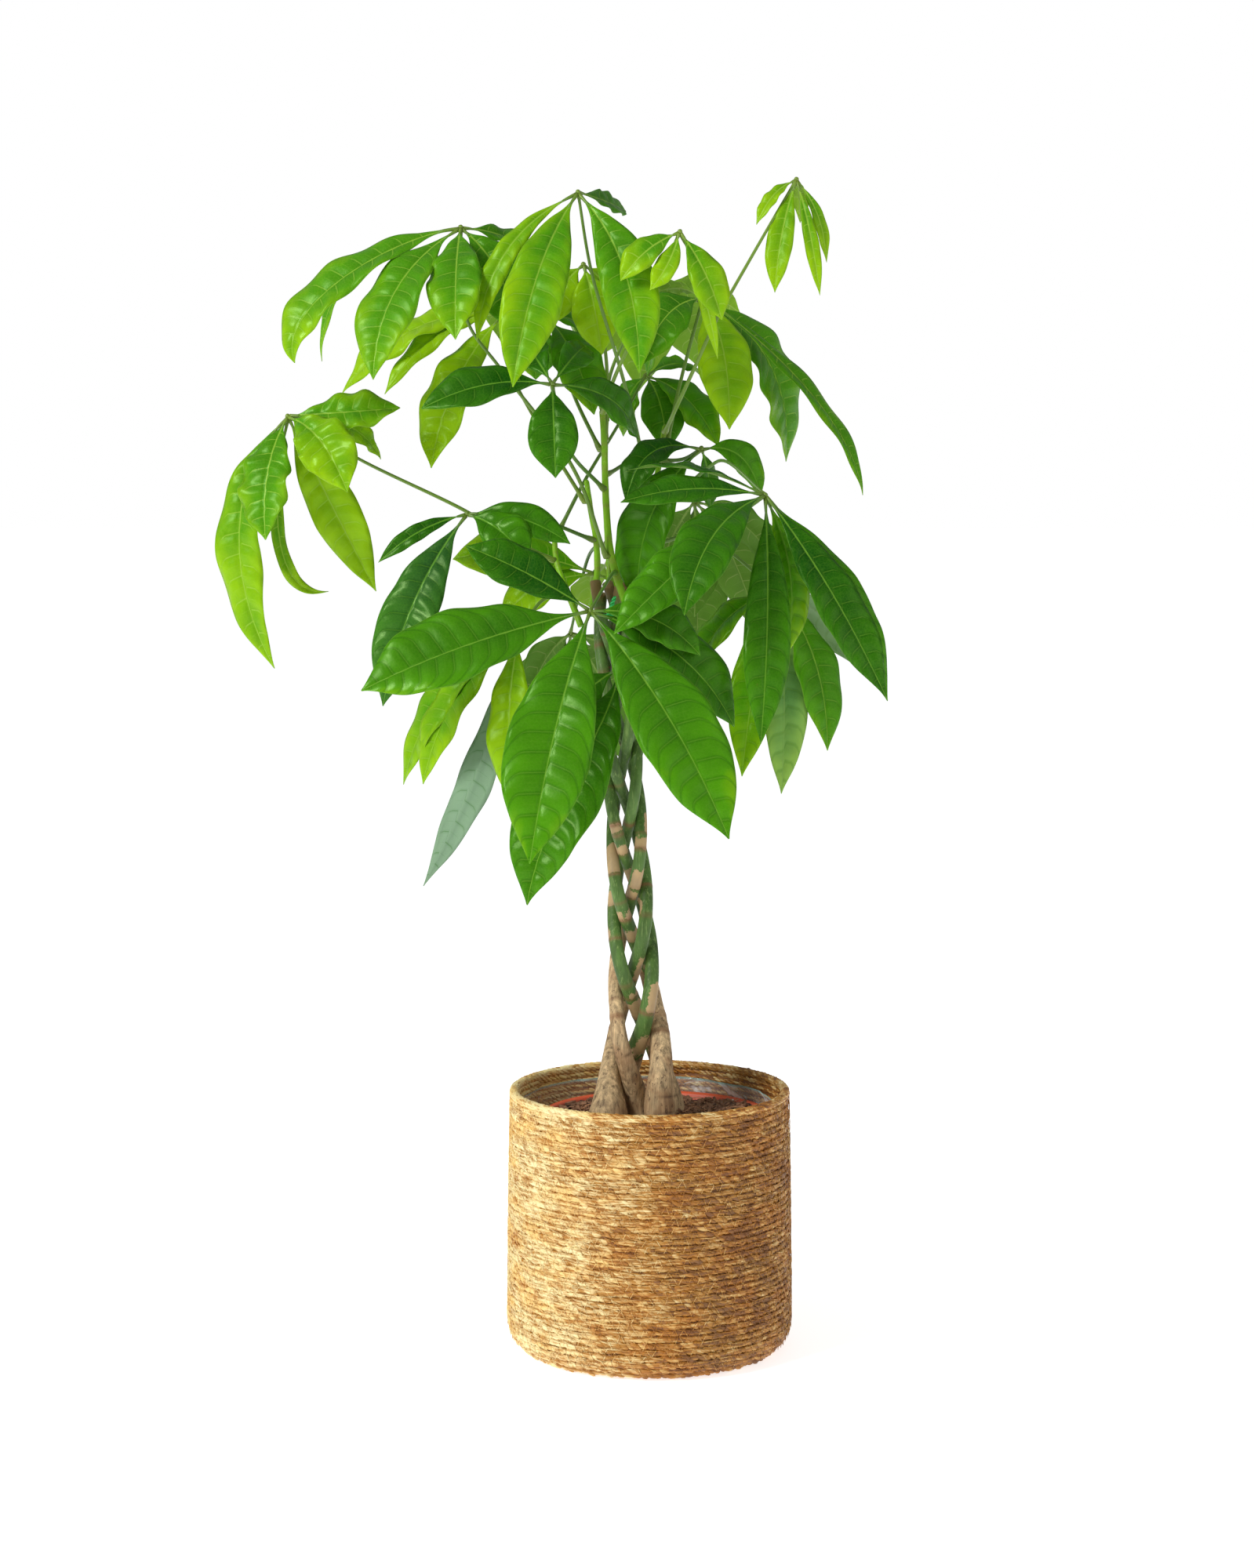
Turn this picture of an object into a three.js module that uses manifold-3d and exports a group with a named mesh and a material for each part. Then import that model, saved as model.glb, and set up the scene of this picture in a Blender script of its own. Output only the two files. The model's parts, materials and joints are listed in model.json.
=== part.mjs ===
// A potted money tree: five braided stems with green shoots and palmate leaves, rooted in a
// nursery pot that stands in a film-lined basket of coiled seagrass. Millimetres, +Z up.
// The origin is the centre of the basket's underside; -Y is the front and +X the right.

import * as THREE from 'three';
import { mergeVertices } from 'three/addons/utils/BufferGeometryUtils.js';
import Module from 'manifold-3d';

const wasm = await Module();
wasm.setup();

// ---------------------------------------------------------------- driving dimensions

const GAP = 0.35; // clearance between pieces that touch

const BASKET_RADIUS = 109;
const BASKET_HEIGHT = 200;
const BASKET_WALL = 6;
const BASKET_FLOOR = 6;
const BASKET_FOOT_RADIUS = 88; // flat part of the underside
const BASKET_TAPER = 2.5; // how much narrower the mouth is than the middle, in radius
const BASKET_SIDES = 32;

const LINER_HEIGHT = 188;
const LINER_WALL = 0.9;
const LINER_WAVE = 2.5; // how far the loose film leans in at its top edge

const POT_RIM_RADIUS = 89;
const POT_BASE_RADIUS = 66;
const POT_TOP = 178;
const POT_WALL = 1.6;
const POT_LIP_WIDTH = 4;
const POT_LIP_HEIGHT = 9;
const POT_SHIFT = 5; // the pot stands a little right of the basket's centre
const DRAIN_HOLES = 6;
const DRAIN_RADIUS = 5;
const DRAIN_SIDES = 6;
const DRAIN_CIRCLE = 44;

const SOIL_TOP = 174;
const SOIL_SIDES = 24;

const STEM_BASE = 177; // height where the bulbs are measured
const STEM_ROOT = 146; // lowest end of the bulbs, inside the soil
const STEM_TOP = 582;
const STEM_RINGS = 29;
const STEM_SIDES = 6;
const BRAID_RATE = 1.385; // degrees of braid for each millimetre of height
const BRAID_START = 36; // height over which the braid comes up to its rate
// half width and half depth of the braid at heights above STEM_BASE
const BRAID_WIDTH = [[0, 26], [84, 15.2], [132, 13.9], [174, 12.5], [210, 11.6], [405, 10.9]];
const BRAID_DEPTH = [[0, 24], [84, 15.5], [132, 14], [210, 12.5], [405, 11.5]];
// radius of a stem in the braid at heights above STEM_BASE
const STEM_SLIM = [[0, 5.5], [100, 5.4], [174, 4.9], [210, 4.5], [405, 4.2]];
// name, place in the braid at the base in degrees, bulb radius, height over which it slims, top
const STEMS = [
  ['stem_left', 198, 15.5, 28, 0],
  ['stem_middle', 270, 9.5, 38, -6],
  ['stem_right', 54, 12.5, 58, 2],
  ['stem_back_right', 342, 12, 42, 3],
  ['stem_back_left', 126, 13, 40, 1],
];

const TIE_HEIGHT = 561;
const TIE_RADIUS = 19.6;
const TIE_ASPECT = 0.96; // the loop is narrower across than deep
const TIE_WIRE = 0.9;

const SHOOT_SIDES = 6;
// name, points from its foot up, foot radius, tip radius
const SHOOTS = [
  ['shoot_front', [[-19, -20, 572], [-25, -18, 590], [-30, -13, 610], [-33, -8, 645], [-34.5, -6, 693],
    [-36, -5, 716]], 2.9, 2.2],
  ['shoot_left', [[-44, 20, 566], [-40, 21, 590], [-41, 18, 618], [-45, 14, 640], [-48, 9, 662]], 2.6, 2],
  ['shoot_low_left', [[-52, -4, 552], [-62, 10, 576], [-71, 24, 600], [-73, 30, 628]], 2.5, 1.9],
  ['shoot_right', [[-7, 9, 566], [-4, 16, 590], [2, 26, 639], [12, 30, 704]], 2.9, 2],
  ['shoot_back', [[-28, 27, 560], [-31, 38, 600], [-34, 56, 660], [-33, 70, 732]], 2.6, 1.9],
];

const LEAF_THICKNESS = 0.9;
const LEAF_FOLD = THREE.MathUtils.degToRad(12); // each half blade rises from the midrib
const LEAF_ARCH = 0.06; // how far a blade bows up, as a share of its length
const LEAF_WAVE = 0.035; // edge wave, as a share of the blade's width
const BOW_PULL = 4 / 3; // a cubic's two middle points stand out by this much of its bow
const HUB_RADIUS = 3;
const HUB_SINK = 0.6; // leaflets start at this share of the hub's radius
const PETIOLE_FOOT = 1.9;
const PETIOLE_TIP = 1.3;
const PETIOLE_SIDES = 4;
// along the blade: [share of the length, share of the half width, thickness factor]
const BLADE = [[0, 0.035, 1.8], [0.14, 0.13, 1.3], [0.35, 0.76, 1], [0.6, 1.04, 1], [0.84, 0.62, 1],
  [1, 0.03, 1]];
const NARROW_BLADE = [[0, 0.035, 1.8], [0.17, 0.17, 1.3], [0.48, 1.04, 1], [0.81, 0.66, 1], [1, 0.03, 1]];
const NARROW = 35; // leaflets less wide than this take the plainer outline
const BLADE_UNDERSIDE = [2, 3]; // sides of the skin that are split like the upper ones above them

// Leaf places are read from the front: [across, depth, up], where across and up are as seen by
// an eye in front of the plant, measured in the plane of the basket's axis, and depth is real.
const EYE = new THREE.Vector3(-17, -2560, 735);

// Each leaf: the shoot it grows on and the height there, the bends of its petiole, its hub,
// the way its upper side faces, and its leaflets as
// [tip across, tip depth, tip up, width, roll in degrees, bow across, bow up], and for a blade
// that bends over near its end two more numbers, how far that bend stands out across and up.
const LEAVES = [
  { name: 'leaf_top_centre', root: ['shoot_right', 640], age: 0.35,
    bends: [[-9, 0, 695], [-21, -32, 741], [-44, -62, 818]], hub: [-54, -70, 877],
    faces: [0, -0.75, 0.66],
    leaflets: [[-103, -138, 730, 43, -8, -6, 6], [-8, -100, 741, 40, 10, 11, 8],
      [-130, -98, 765, 19, 0, -13, 8], [-18, 5, 864, 20, 28, 0, -3], [-2, -30, 797, 26, 30, 2, 0]] },
  { name: 'leaf_top_inner', root: ['shoot_front', 692], age: 0.1,
    bends: [[-32, 5, 735], [-35, 2, 769]], hub: [-50, -16, 824], faces: [0, -0.7, 0.7],
    leaflets: [[-36, -26, 756, 34, 0, 0, 4], [-78, -22, 776, 28, -20, -2, 5],
      [-24, 8, 782, 26, 20, 2, 5]] },
  { name: 'leaf_top_right', root: ['shoot_front', 712], age: 0.12,
    bends: [[-30, -30, 730], [-18, -58, 758]], hub: [22.5, -95, 847], faces: [0, -0.8, 0.6],
    leaflets: [[-22, -105, 810, 22, -10, -2, 3], [0, -112, 803, 17, 0, 3, -2],
      [54, -100, 781, 27, 0, 2, 1], [51, -70, 752, 10, 30, 4, 3]] },
  { name: 'leaf_far_right_top', root: ['shoot_right', 698], age: 0.12,
    bends: [[21, -8, 719], [34, -22, 747], [50, -22, 782], [76, -2, 829]], hub: [110, 20, 888],
    faces: [0, -0.6, 0.8],
    leaflets: [[80, 8, 854, 12, 0, -1, 4], [94, 0, 803, 20, 0, -2, 1], [128, 10, 801, 11, 10, 1, 2],
      [133, 30, 826, 10, 10, 3, 4], [113, 58, 856, 13, 0, 0, 4]] },
  { name: 'leaf_upper_left', root: ['shoot_front', 604], age: 0.3,
    bends: [[-53, -28, 661], [-72, -28, 693], [-113, -42, 746], [-138, -52, 783]],
    hub: [-142, -55, 851], faces: [-0.2, -0.65, 0.72],
    leaflets: [[-267, -82, 749, 37, 0, -4, 14, -46, -20], [-247, -25, 751, 16, 0, -8, 18, -20, 0],
      [-208, -115, 736, 46, 0, -12, 5], [-146, -118, 766, 40, 0, 0, 4], [-96, -65, 765, 42, 0, 4, 8],
      [-80, -20, 822, 26, 0, 3, 3]] },
  { name: 'leaf_left_yellow', root: ['shoot_left', 645], age: 0.08,
    bends: [[-82, 22, 700], [-110, 44, 758]], hub: [-109, 50, 789], faces: [-0.1, -0.55, 0.8],
    leaflets: [[-232, 40, 728, 36, 0, -4, 12], [-165, 0, 671, 40, 0, -6, 2],
      [-200, 25, 727, 24, 0, -2, 10], [-88, 110, 742, 34, 0, 2, 10]] },
  { name: 'leaf_far_left', root: ['shoot_low_left', 600], age: 0.18,
    bends: [[-110, 8, 620], [-138, 0, 638], [-220, -15, 678]], hub: [-273, -20, 710],
    faces: [-0.3, -0.7, 0.65],
    leaflets: [[-188, -30, 716, 32, 10, 0, -3], [-228, -62, 652, 42, 0, 3, 8],
      [-207, 5, 578, 36, 0, -5, 10], [-203, 25, 678, 18, 20, 6, 8],
      [-284, -35, 519, 36, 0, -22, 20, -8, -14], [-290, -62, 616, 40, 0, -4, 2],
      [-243, 20, 578, 11, -40, -20, -7, -13, -38]] },
  { name: 'leaf_dark_front', root: ['shoot_front', 655], age: 0.8,
    bends: [[-62, -62, 686]], hub: [-73.5, -100, 733], faces: [0, -0.8, 0.6],
    leaflets: [[-172, -118, 714, 34, 0, 0, 5], [-71, -128, 662, 36, 0, 0, 2],
      [-9, -35, 692, 32, 10, 6, 8], [-92, -55, 762, 24, -20, -2, 4], [-48, -45, 762, 24, 20, 2, 4]] },
  { name: 'leaf_behind_top', root: ['shoot_front', 684], age: 0.55,
    bends: [[-58, 10, 728]], hub: [-76, 10, 783], faces: [0.2, -0.7, 0.7],
    leaflets: [[-42, -22, 711, 40, 0, 0, 6], [-86, 26, 738, 30, 0, -3, 4],
      [-42, 46, 762, 30, 0, 0, 8]] },
  { name: 'leaf_right_bright', root: ['shoot_right', 690], age: 0.25,
    bends: [[24, 40, 740]], hub: [40, 30, 800], faces: [0.1, -0.6, 0.8],
    leaflets: [[-6, 5, 748, 44, 0, -3, 10], [60, -15, 700, 42, 0, 4, 6],
      [161, 30, 651, 22, -12, 0, 6, 24, -12], [103, 80, 677, 54, 0, 12, 10], [-2, 62, 741, 30, 0, -4, 8],
      [3, 48, 803, 20, 60, 0, 4]] },
  { name: 'leaf_olive', root: ['shoot_low_left', 622], age: 0.5,
    bends: [[-48, 40, 664], [-24, 50, 704]], hub: [-3, 70, 742], faces: [0, -0.5, 0.85],
    leaflets: [[52, 55, 688, 36, 0, 2, 6], [13, 48, 684, 34, 0, 2, 6], [-20, 85, 696, 30, 0, -2, 6],
      [42, 112, 738, 28, 0, 2, 8]] },
  { name: 'leaf_right_dark', root: ['shoot_right', 676], age: 0.8,
    bends: [[25, 14, 678]], hub: [39, -8, 686], faces: [-0.1, -0.6, 0.75],
    leaflets: [[-18, -30, 645, 30, 0, -8, 14], [-9, 0, 566, 46, 0, -10, 8],
      [84, 5, 650, 24, 20, 4, 12], [46, 26, 640, 16, 0, 0, 4]] },
  { name: 'leaf_right_large', root: ['shoot_right', 650], age: 0.75,
    bends: [[25, -2, 656], [44, -30, 671], [56, -46, 676]], hub: [87, -72, 650],
    faces: [0, -0.75, 0.65],
    leaflets: [[26, -160, 558, 44, 0, -9, 8], [-27, -134, 544, 38, 0, -4, -6],
      [-22, -95, 644, 26, 0, -2, 3], [-16, -62, 669, 28, 45, -2, 4], [84, -112, 461, 34, 0, 3, 2],
      [179, -95, 496, 36, 0, 0, 2], [180, -68, 494, 34, 0, 3, 5], [103, -45, 528, 28, 0, 9, 4],
      [116, -20, 561, 14, 0, 6, 6]] },
  { name: 'leaf_right_low', root: ['shoot_right', 612], age: 0.5,
    bends: [[40, 45, 620]], hub: [95, 38, 580], faces: [0.1, -0.45, 0.85],
    leaflets: [[156, 45, 521, 36, -80, 4, 6], [135, 20, 457, 38, 0, 6, 6], [100, 10, 424, 34, 0, 2, 6],
      [70, -12, 437, 36, 0, -2, 6], [30, 60, 505, 36, 0, -4, 8], [135, 95, 514, 22, 0, 6, 8]] },
  { name: 'leaf_front_large', root: ['shoot_front', 592], age: 0.7,
    bends: [[-30, -70, 588]], hub: [-45, -110, 562], faces: [0, -0.8, 0.6],
    leaflets: [[-218, -145, 501, 60, 0, -4, -1], [-91, -180, 369, 62, 0, -2, 4],
      [60, -172, 388, 60, 0, 4, 3], [-139, -100, 611, 37, 0, -2, 1], [38, -110, 528, 34, 0, 4, 8],
      [64, -95, 474, 44, 0, 8, 8]] },
  { name: 'leaf_front_low', root: ['shoot_right', 572], age: 0.85,
    bends: [[6, -22, 566], [-6, -48, 548]], hub: [-22, -62, 520], faces: [-0.15, -0.8, 0.6],
    leaflets: [[-93, -112, 338, 60, 0, 14, 4, -28, 0], [36, -66, 452, 50, 0, 4, 8],
      [-80, -55, 440, 44, 0, -4, 8]] },
  { name: 'leaf_mid_left', root: ['shoot_left', 616], age: 0.85,
    bends: [[-85, -18, 632]], hub: [-138, -50, 636], faces: [-0.2, -0.7, 0.65],
    leaflets: [[-205, -62, 599, 13, -30, -2, 4], [-202, -80, 490, 42, -15, -6, 4],
      [-60, -62, 613, 24, 20, 0, 7], [-92, -72, 600, 34, 10, 2, 4]] },
  { name: 'leaf_centre_pale', root: ['shoot_back', 596], age: 0.15,
    bends: [[-34, 54, 598]], hub: [-41, 62, 592], faces: [-0.1, -0.8, 0.6],
    leaflets: [[-149, 78, 603, 44, 0, -4, 6], [-112, 62, 558, 36, 0, -4, 6], [6, 66, 548, 34, 0, 4, 6],
      [-44, 130, 566, 34, 0, 0, 8]] },
  { name: 'leaf_low_left', root: ['shoot_low_left', 574], age: 0.3,
    bends: [[-80, 0, 572]], hub: [-98, -12, 548], faces: [-0.3, -0.6, 0.75],
    leaflets: [[-187, 5, 431, 34, 0, -8, 6], [-172, -18, 431, 38, 0, -6, 6],
      [-172, -42, 353, 29, 165, 6, 8], [-104, -45, 415, 36, 0, -2, 4]] },
  { name: 'leaf_back_top', root: ['shoot_back', 706], age: 0.3,
    bends: [[-30, 104, 742], [-14, 126, 780]], hub: [0, 150, 804], faces: [0, 0.7, 0.7],
    leaflets: [[-56, 190, 748, 42, 0, 0, 10], [-8, 228, 732, 46, 0, 0, 10],
      [48, 205, 742, 42, 0, 0, 10], [68, 156, 790, 34, 0, 0, 8], [-44, 140, 790, 32, 0, 0, 6]] },
  { name: 'leaf_back_left_top', root: ['shoot_back', 714], age: 0.35,
    bends: [[-62, 106, 786]], hub: [-100, 135, 830], faces: [-0.3, 0.65, 0.7],
    leaflets: [[-150, 168, 786, 34, 0, 0, 8], [-112, 212, 768, 40, 0, 0, 10],
      [-62, 190, 782, 34, 0, 0, 8], [-128, 110, 800, 26, 0, 0, 6]] },
  { name: 'leaf_back_right', root: ['shoot_back', 664], age: 0.7,
    bends: [[2, 122, 682]], hub: [34, 165, 648], faces: [0.2, 0.7, 0.7],
    leaflets: [[-6, 198, 562, 44, 0, 0, 8], [36, 236, 528, 50, 0, 0, 12], [84, 208, 546, 46, 0, 0, 10],
      [100, 160, 596, 38, 0, 0, 8], [34, 150, 560, 34, 0, 0, 0]] },
  { name: 'leaf_back_low', root: ['shoot_back', 612], age: 0.8,
    bends: [[-46, 100, 606]], hub: [-60, 148, 548], faces: [-0.15, 0.7, 0.7],
    leaflets: [[-100, 190, 470, 46, 0, 0, 8], [-60, 226, 420, 52, 0, 0, 12],
      [-8, 206, 440, 48, 0, 0, 10], [18, 160, 492, 38, 0, 0, 8], [-92, 140, 498, 34, 0, 0, 6]] },
];

// ---------------------------------------------------------------- colours

const finish = (color, roughness) => new THREE.MeshStandardMaterial({ color, roughness, metalness: 0 });
const SEAGRASS = finish('#b98a4a', 0.85);
const FILM = finish('#d8e4e2', 0.25);
const TERRACOTTA = finish('#c9553a', 0.55);
const POTTING_MIX = finish('#4a3022', 0.95);
const BARK = finish('#9a8468', 0.8);
const GREEN_WOOD = finish('#7fa63c', 0.5);
const TIE_GREEN = finish('#1f8a4c', 0.45);
const YOUNG_LEAF = new THREE.Color('#86b81e');
const OLD_LEAF = new THREE.Color('#1f6b1c');
const leafFinish = (age) => finish(YOUNG_LEAF.clone().lerp(OLD_LEAF, age), 0.4);

// ---------------------------------------------------------------- solids

/** A manifold solid from a closed geometry. */
function toSolid(geometry) {
  geometry.deleteAttribute('normal');
  geometry.deleteAttribute('uv');
  const merged = mergeVertices(geometry, 1e-4);
  return new wasm.Manifold(new wasm.Mesh({
    numProp: 3,
    vertProperties: new Float32Array(merged.attributes.position.array),
    triVerts: new Uint32Array(merged.index.array),
  }));
}

/** The geometry of a manifold solid. */
function toGeometry(solid) {
  const mesh = solid.getMesh();
  const geometry = new THREE.BufferGeometry();
  geometry.setAttribute('position', new THREE.BufferAttribute(new Float32Array(mesh.vertProperties), 3));
  geometry.setIndex(new THREE.BufferAttribute(new Uint32Array(mesh.triVerts), 1));
  return geometry;
}

/**
 * A closed skin through rings of points, capped by a fan from each end ring's first point. The
 * quads of the sides listed in turned are split along their other diagonal.
 */
function loft(rings, turned = []) {
  const count = rings[0].length;
  const index = [];
  for (let ring = 0; ring + 1 < rings.length; ring++) {
    for (let i = 0; i < count; i++) {
      const a = ring * count + i;
      const b = ring * count + (i + 1) % count;
      if (turned.includes(i)) index.push(a, b, a + count, b, b + count, a + count);
      else index.push(a, b, b + count, a, b + count, a + count);
    }
  }
  const last = (rings.length - 1) * count;
  for (let i = 1; i + 1 < count; i++) {
    index.push(0, i + 1, i);
    index.push(last, last + i, last + i + 1);
  }
  const points = rings.flat();
  let volume = 0;
  for (let i = 0; i < index.length; i += 3) {
    const [a, b, c] = [points[index[i]], points[index[i + 1]], points[index[i + 2]]];
    volume += a.dot(new THREE.Vector3().crossVectors(b, c));
  }
  if (volume < 0) index.reverse();
  const geometry = new THREE.BufferGeometry().setFromPoints(points);
  geometry.setIndex(index);
  return geometry;
}

/** A round tube along a curve, with its radius given as a function of the share of its length. */
function taperedTube(curve, steps, sides, radiusAt) {
  const frames = curve.computeFrenetFrames(steps);
  const rings = [];
  for (let step = 0; step <= steps; step++) {
    const centre = curve.getPointAt(step / steps);
    const radius = radiusAt(step / steps);
    const ring = [];
    for (let side = 0; side < sides; side++) {
      const angle = (2 * Math.PI * side) / sides;
      ring.push(centre.clone()
        .addScaledVector(frames.normals[step], radius * Math.cos(angle))
        .addScaledVector(frames.binormals[step], radius * Math.sin(angle)));
    }
    rings.push(ring);
  }
  return loft(rings);
}

/** Where a place read from the front really is. */
function fromFront([across, depth, up]) {
  const reach = (depth - EYE.y) / -EYE.y;
  return new THREE.Vector3(EYE.x + (across - EYE.x) * reach, depth, EYE.z + (up - EYE.z) * reach);
}

/** A value between the keys of a list of [place, value]. */
function between(keys, place) {
  let low = keys[0];
  for (const high of keys) {
    if (place <= high[0]) {
      const share = high[0] > low[0] ? (place - low[0]) / (high[0] - low[0]) : 0;
      return low[1] + (high[1] - low[1]) * Math.max(0, share);
    }
    low = high;
  }
  return low[1];
}

// ---------------------------------------------------------------- basket, liner, pot and soil

const lathe = (profile, sides) => {
  const points = profile.map(([radius, height]) => new THREE.Vector2(radius, height));
  return new THREE.LatheGeometry(points, sides).rotateX(Math.PI / 2);
};

/** Outer radius of the basket: full in the lower half, drawn in at the foot and a touch at the rim. */
function basketRadius(height) {
  const foot = Math.max(0, 1 - height / 22);
  const top = height / BASKET_HEIGHT;
  const tuckedIn = (BASKET_RADIUS - BASKET_FOOT_RADIUS) * (1 - Math.sqrt(1 - foot * foot));
  return BASKET_RADIUS - tuckedIn - BASKET_TAPER * top * top;
}

function basket() {
  const outer = [0, 4, 11, 24, 70, 130, 196].map((z) => [basketRadius(z), z]);
  const rim = basketRadius(BASKET_HEIGHT);
  const wall = [
    [rim - 1.5, BASKET_HEIGHT], [rim - BASKET_WALL + 1.5, BASKET_HEIGHT], [rim - BASKET_WALL, 196],
  ];
  const inner = [130, 70, 24, 14].map((z) => [basketRadius(z) - BASKET_WALL, z]);
  const floor = [[basketRadius(BASKET_FLOOR) - BASKET_WALL - 2, BASKET_FLOOR], [0, BASKET_FLOOR]];
  return lathe([[0, 0], ...outer, ...wall, ...inner, ...floor], BASKET_SIDES);
}

/** The outside of the liner, clear of the basket's inner wall. */
const linerRadius = (height) => basketRadius(Math.max(height, 14)) - BASKET_WALL - GAP - 0.4;

function liner() {
  const bottom = BASKET_FLOOR + GAP;
  const heights = [24, 70, 130, LINER_HEIGHT - 10];
  const outer = [[linerRadius(14) - 9, bottom], ...heights.map((z) => [linerRadius(z), z])];
  const lip = [linerRadius(LINER_HEIGHT) - LINER_WAVE, LINER_HEIGHT];
  const inner = heights.map((z) => [linerRadius(z) - LINER_WALL, z]).reverse();
  const floor = [[linerRadius(14) - 9 - LINER_WALL / 2, bottom + LINER_WALL], [0, bottom + LINER_WALL]];
  const innerLip = [lip[0] - LINER_WALL, LINER_HEIGHT];
  return lathe([[0, bottom], ...outer, lip, innerLip, ...inner, ...floor], BASKET_SIDES);
}

const POT_BOTTOM = BASKET_FLOOR + GAP + LINER_WALL + GAP;
const potRadius = (z) => POT_BASE_RADIUS
  + (POT_RIM_RADIUS - POT_LIP_WIDTH - POT_BASE_RADIUS) * (z - POT_BOTTOM) / (POT_TOP - POT_BOTTOM);

function nurseryPot() {
  const lipFoot = POT_TOP - POT_LIP_HEIGHT;
  const floorTop = POT_BOTTOM + 2;
  const profile = [
    [0, POT_BOTTOM], [potRadius(POT_BOTTOM), POT_BOTTOM], [potRadius(lipFoot), lipFoot],
    [POT_RIM_RADIUS - 0.8, lipFoot], [POT_RIM_RADIUS, lipFoot + 2], [POT_RIM_RADIUS, POT_TOP - 1],
    [POT_RIM_RADIUS - 1.2, POT_TOP], [potRadius(POT_TOP) - POT_WALL + 1, POT_TOP],
    [potRadius(POT_TOP) - POT_WALL, POT_TOP - 1.5], [potRadius(floorTop) - POT_WALL, floorTop],
    [0, floorTop],
  ];
  let pot = toSolid(lathe(profile, SOIL_SIDES));
  for (let hole = 0; hole < DRAIN_HOLES; hole++) {
    const angle = (2 * Math.PI * hole) / DRAIN_HOLES;
    const drill = new THREE.CylinderGeometry(DRAIN_RADIUS, DRAIN_RADIUS, 12, DRAIN_SIDES);
    drill.rotateX(Math.PI / 2);
    drill.translate(DRAIN_CIRCLE * Math.cos(angle), DRAIN_CIRCLE * Math.sin(angle), POT_BOTTOM);
    pot = pot.subtract(toSolid(drill));
  }
  return toGeometry(pot).translate(POT_SHIFT, 0, 0);
}

/** Height of the chunky potting mix: low swells with smaller lumps on them. */
function soilHeight(x, y) {
  const swell = 2.2 * Math.sin(x / 21 + 0.6) * Math.cos(y / 17);
  const lumps = 1.3 * Math.sin(x / 5.1 + y / 7.3) * Math.sin(y / 4.3 - x / 9.7);
  return SOIL_TOP + swell + lumps;
}

function soil(stemPockets) {
  const bottom = POT_BOTTOM + 2 + GAP;
  const rings = [];
  const ringAt = (radius, heightAt) => {
    const ring = [];
    for (let side = 0; side < SOIL_SIDES; side++) {
      const angle = (2 * Math.PI * side) / SOIL_SIDES;
      const [x, y] = [radius * Math.cos(angle), radius * Math.sin(angle)];
      ring.push(new THREE.Vector3(x, y, heightAt(x, y)));
    }
    rings.push(ring);
  };
  const wallRadius = (z) => potRadius(z) - POT_WALL - GAP - 0.3;
  ringAt(wallRadius(bottom) - 1, () => bottom);
  ringAt(wallRadius(SOIL_TOP - 6), () => SOIL_TOP - 6);
  for (const share of [0.985, 0.8, 0.61, 0.42, 0.22]) ringAt(wallRadius(SOIL_TOP) * share, soilHeight);
  ringAt(2, () => SOIL_TOP + 1);
  let body = toSolid(loft(rings).translate(POT_SHIFT, 0, 0));
  for (const pocket of stemPockets) body = body.subtract(pocket);
  return toGeometry(body);
}

// ---------------------------------------------------------------- braided stems

/** How far the braid's axis has leaned across at a rise above the bulbs. */
const braidLean = (rise) => -7.5 - 0.0339 * rise - 0.000053 * rise * rise;

/** Centre line of one braided stem at a height; the five pass over each other front and back. */
function stemCentre(place, z) {
  const rise = Math.max(0, z - STEM_BASE);
  const turned = BRAID_RATE * (rise - BRAID_START * (1 - Math.exp(-rise / BRAID_START)));
  const angle = THREE.MathUtils.degToRad(place - turned);
  return new THREE.Vector3(
    braidLean(rise) + between(BRAID_WIDTH, rise) * Math.cos(angle),
    -between(BRAID_DEPTH, rise) * Math.sin(2 * angle),
    z,
  );
}

/** Radius of a stem: its bulb, slimming into the braid, and closing in below the soil. */
function stemRadius(bulb, slimming, z) {
  const rise = z - STEM_BASE;
  if (rise < 0) return bulb * Math.sqrt(1 - 0.8 * (rise / (STEM_ROOT - STEM_BASE)) ** 2);
  const slim = between(STEM_SLIM, rise);
  return slim + (bulb - slim) * Math.exp(-((rise / slimming) ** 1.5));
}

function stem([, place, bulb, slimming, extra], grow = 0) {
  const top = STEM_TOP + extra;
  const heights = [];
  for (let ring = 0; ring <= STEM_RINGS; ring++) {
    heights.push(STEM_ROOT + (top - STEM_ROOT) * (ring / STEM_RINGS));
  }
  const rings = heights.map((z) => {
    const centre = stemCentre(place, z);
    const along = stemCentre(place, z + 1).sub(stemCentre(place, z - 1)).normalize();
    const right = new THREE.Vector3(0, 1, 0).cross(along).normalize();
    const back = along.clone().cross(right);
    const radius = stemRadius(bulb, slimming, z) + grow;
    return Array.from({ length: STEM_SIDES }, (_, side) => {
      const angle = (2 * Math.PI * side) / STEM_SIDES;
      return centre.clone()
        .addScaledVector(right, radius * Math.cos(angle))
        .addScaledVector(back, radius * Math.sin(angle));
    });
  });
  return loft(rings);
}

// ---------------------------------------------------------------- shoots and leaves

const shootCurve = (points) =>
  new THREE.CatmullRomCurve3(points.map((point) => new THREE.Vector3(...point)));

function shoot([, points, foot, tip]) {
  return taperedTube(shootCurve(points), 8, SHOOT_SIDES, (share) => foot + (tip - foot) * share);
}

/** The point of a shoot's axis at a height, with the shoot's radius there. */
function shootAt(name, height) {
  const [, points, foot, tip] = SHOOTS.find((entry) => entry[0] === name);
  const curve = shootCurve(points);
  let share = 0;
  while (share < 1 && curve.getPointAt(share).z < height) share += 0.01;
  return { centre: curve.getPointAt(Math.min(1, share)), radius: foot + (tip - foot) * share };
}

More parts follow.
